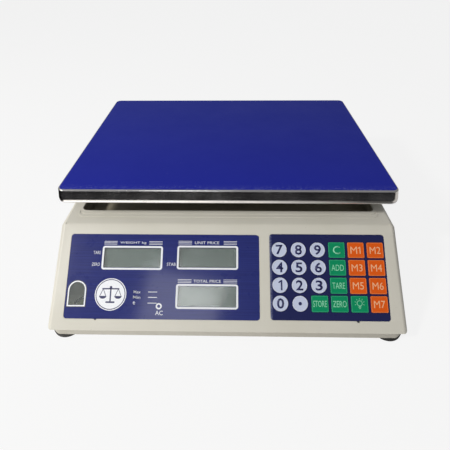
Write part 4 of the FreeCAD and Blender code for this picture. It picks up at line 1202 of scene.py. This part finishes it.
def addLamp(name, look):
    lamp = bpy.data.lights.new(name, "AREA")
    lamp.shape = "RECTANGLE"
    lamp.size = look["wide"]
    lamp.size_y = look["tall"]
    lamp.energy = look["power"]
    lamp.color = look["colour"]
    holder = bpy.data.objects.new(name, lamp)
    holder.location = look["at"]
    aim = Vector(look["towards"]) - Vector(look["at"])
    holder.rotation_mode = "QUATERNION"
    holder.rotation_quaternion = aim.to_track_quat("-Z", "Y")
    bpy.context.scene.collection.objects.link(holder)


lamps = {
    "keyLamp": {
        "at": (-1.08, -0.62, 0.98),
        "towards": (0, -0.05, 0.05),
        "wide": 0.16,
        "tall": 0.16,
        "power": 17.0,
        "colour": (1.0, 0.985, 0.95),
    },
    "glareLamp": {
        "at": (-0.22, -0.88, 0.97),
        "towards": (-0.045, -0.146, 0.029),
        "wide": 0.34,
        "tall": 0.26,
        "power": 1.1,
        "colour": (1.0, 1.0, 1.0),
    },
}
for lampName, look in lamps.items():
    addLamp(lampName, look)


def paintWorld():
    # pale all round, but dark low down in front, where the room behind the table is
    world = bpy.data.worlds.new("studio")
    bpy.context.scene.world = world
    world.use_nodes = True
    tree = world.node_tree
    tree.nodes.clear()
    sky = {"pale": 0.34, "dark": 0.02, "left": 0.98, "right": 0.66, "backdrop": tint(245, 245, 245)}
    coords = addNode(tree, "TexCoord")
    parts = addNode(tree, "SeparateXYZ", {0: coords.outputs["Generated"]})
    lowDown = remap(tree, parts.outputs["Z"], 0.02, -0.06)
    inFront = remap(tree, parts.outputs["Y"], -0.1, -0.5)
    dark = times(tree, lowDown, inFront)
    sideways = remap(tree, parts.outputs["X"], -0.7, 0.7, sky["left"], sky["right"])
    strength = times(tree, sideways, remap(tree, dark, 0, 1, sky["pale"], sky["dark"]))
    lit = addNode(tree, "Background", {"Color": (1, 1, 1, 1), "Strength": strength})
    seen = addNode(tree, "Background", {"Color": sky["backdrop"], "Strength": 1.0})
    path = addNode(tree, "LightPath")
    ways = {0: path.outputs["Is Camera Ray"], 1: lit.outputs[0], 2: seen.outputs[0]}
    mixed = addNode(tree, "MixShader", ways)
    addNode(tree, "OutputWorld", {"Surface": mixed.outputs[0]})


paintWorld()
bpy.context.scene.view_settings.view_transform = "Standard"

viewpoint = {
    "at": (0.0053, -0.34185, 0.304),
    "pitch": 41.18,
    "yaw": 1.53,
    "roll": 0.68,
    "lens": 26.87,
}
lens = bpy.data.cameras.new("camera")
lens.lens = viewpoint["lens"]
lens.sensor_width = 36.0
lens.clip_start = 0.01
camera = bpy.data.objects.new("camera", lens)
camera.matrix_world = (
    Matrix.Translation(viewpoint["at"])
    @ Matrix.Rotation(math.radians(viewpoint["yaw"]), 4, "Z")
    @ Matrix.Rotation(math.radians(90 - viewpoint["pitch"]), 4, "X")
    @ Matrix.Rotation(math.radians(-viewpoint["roll"]), 4, "Z")
)
bpy.context.scene.collection.objects.link(camera)
bpy.context.scene.camera = camera
print("light and camera done")
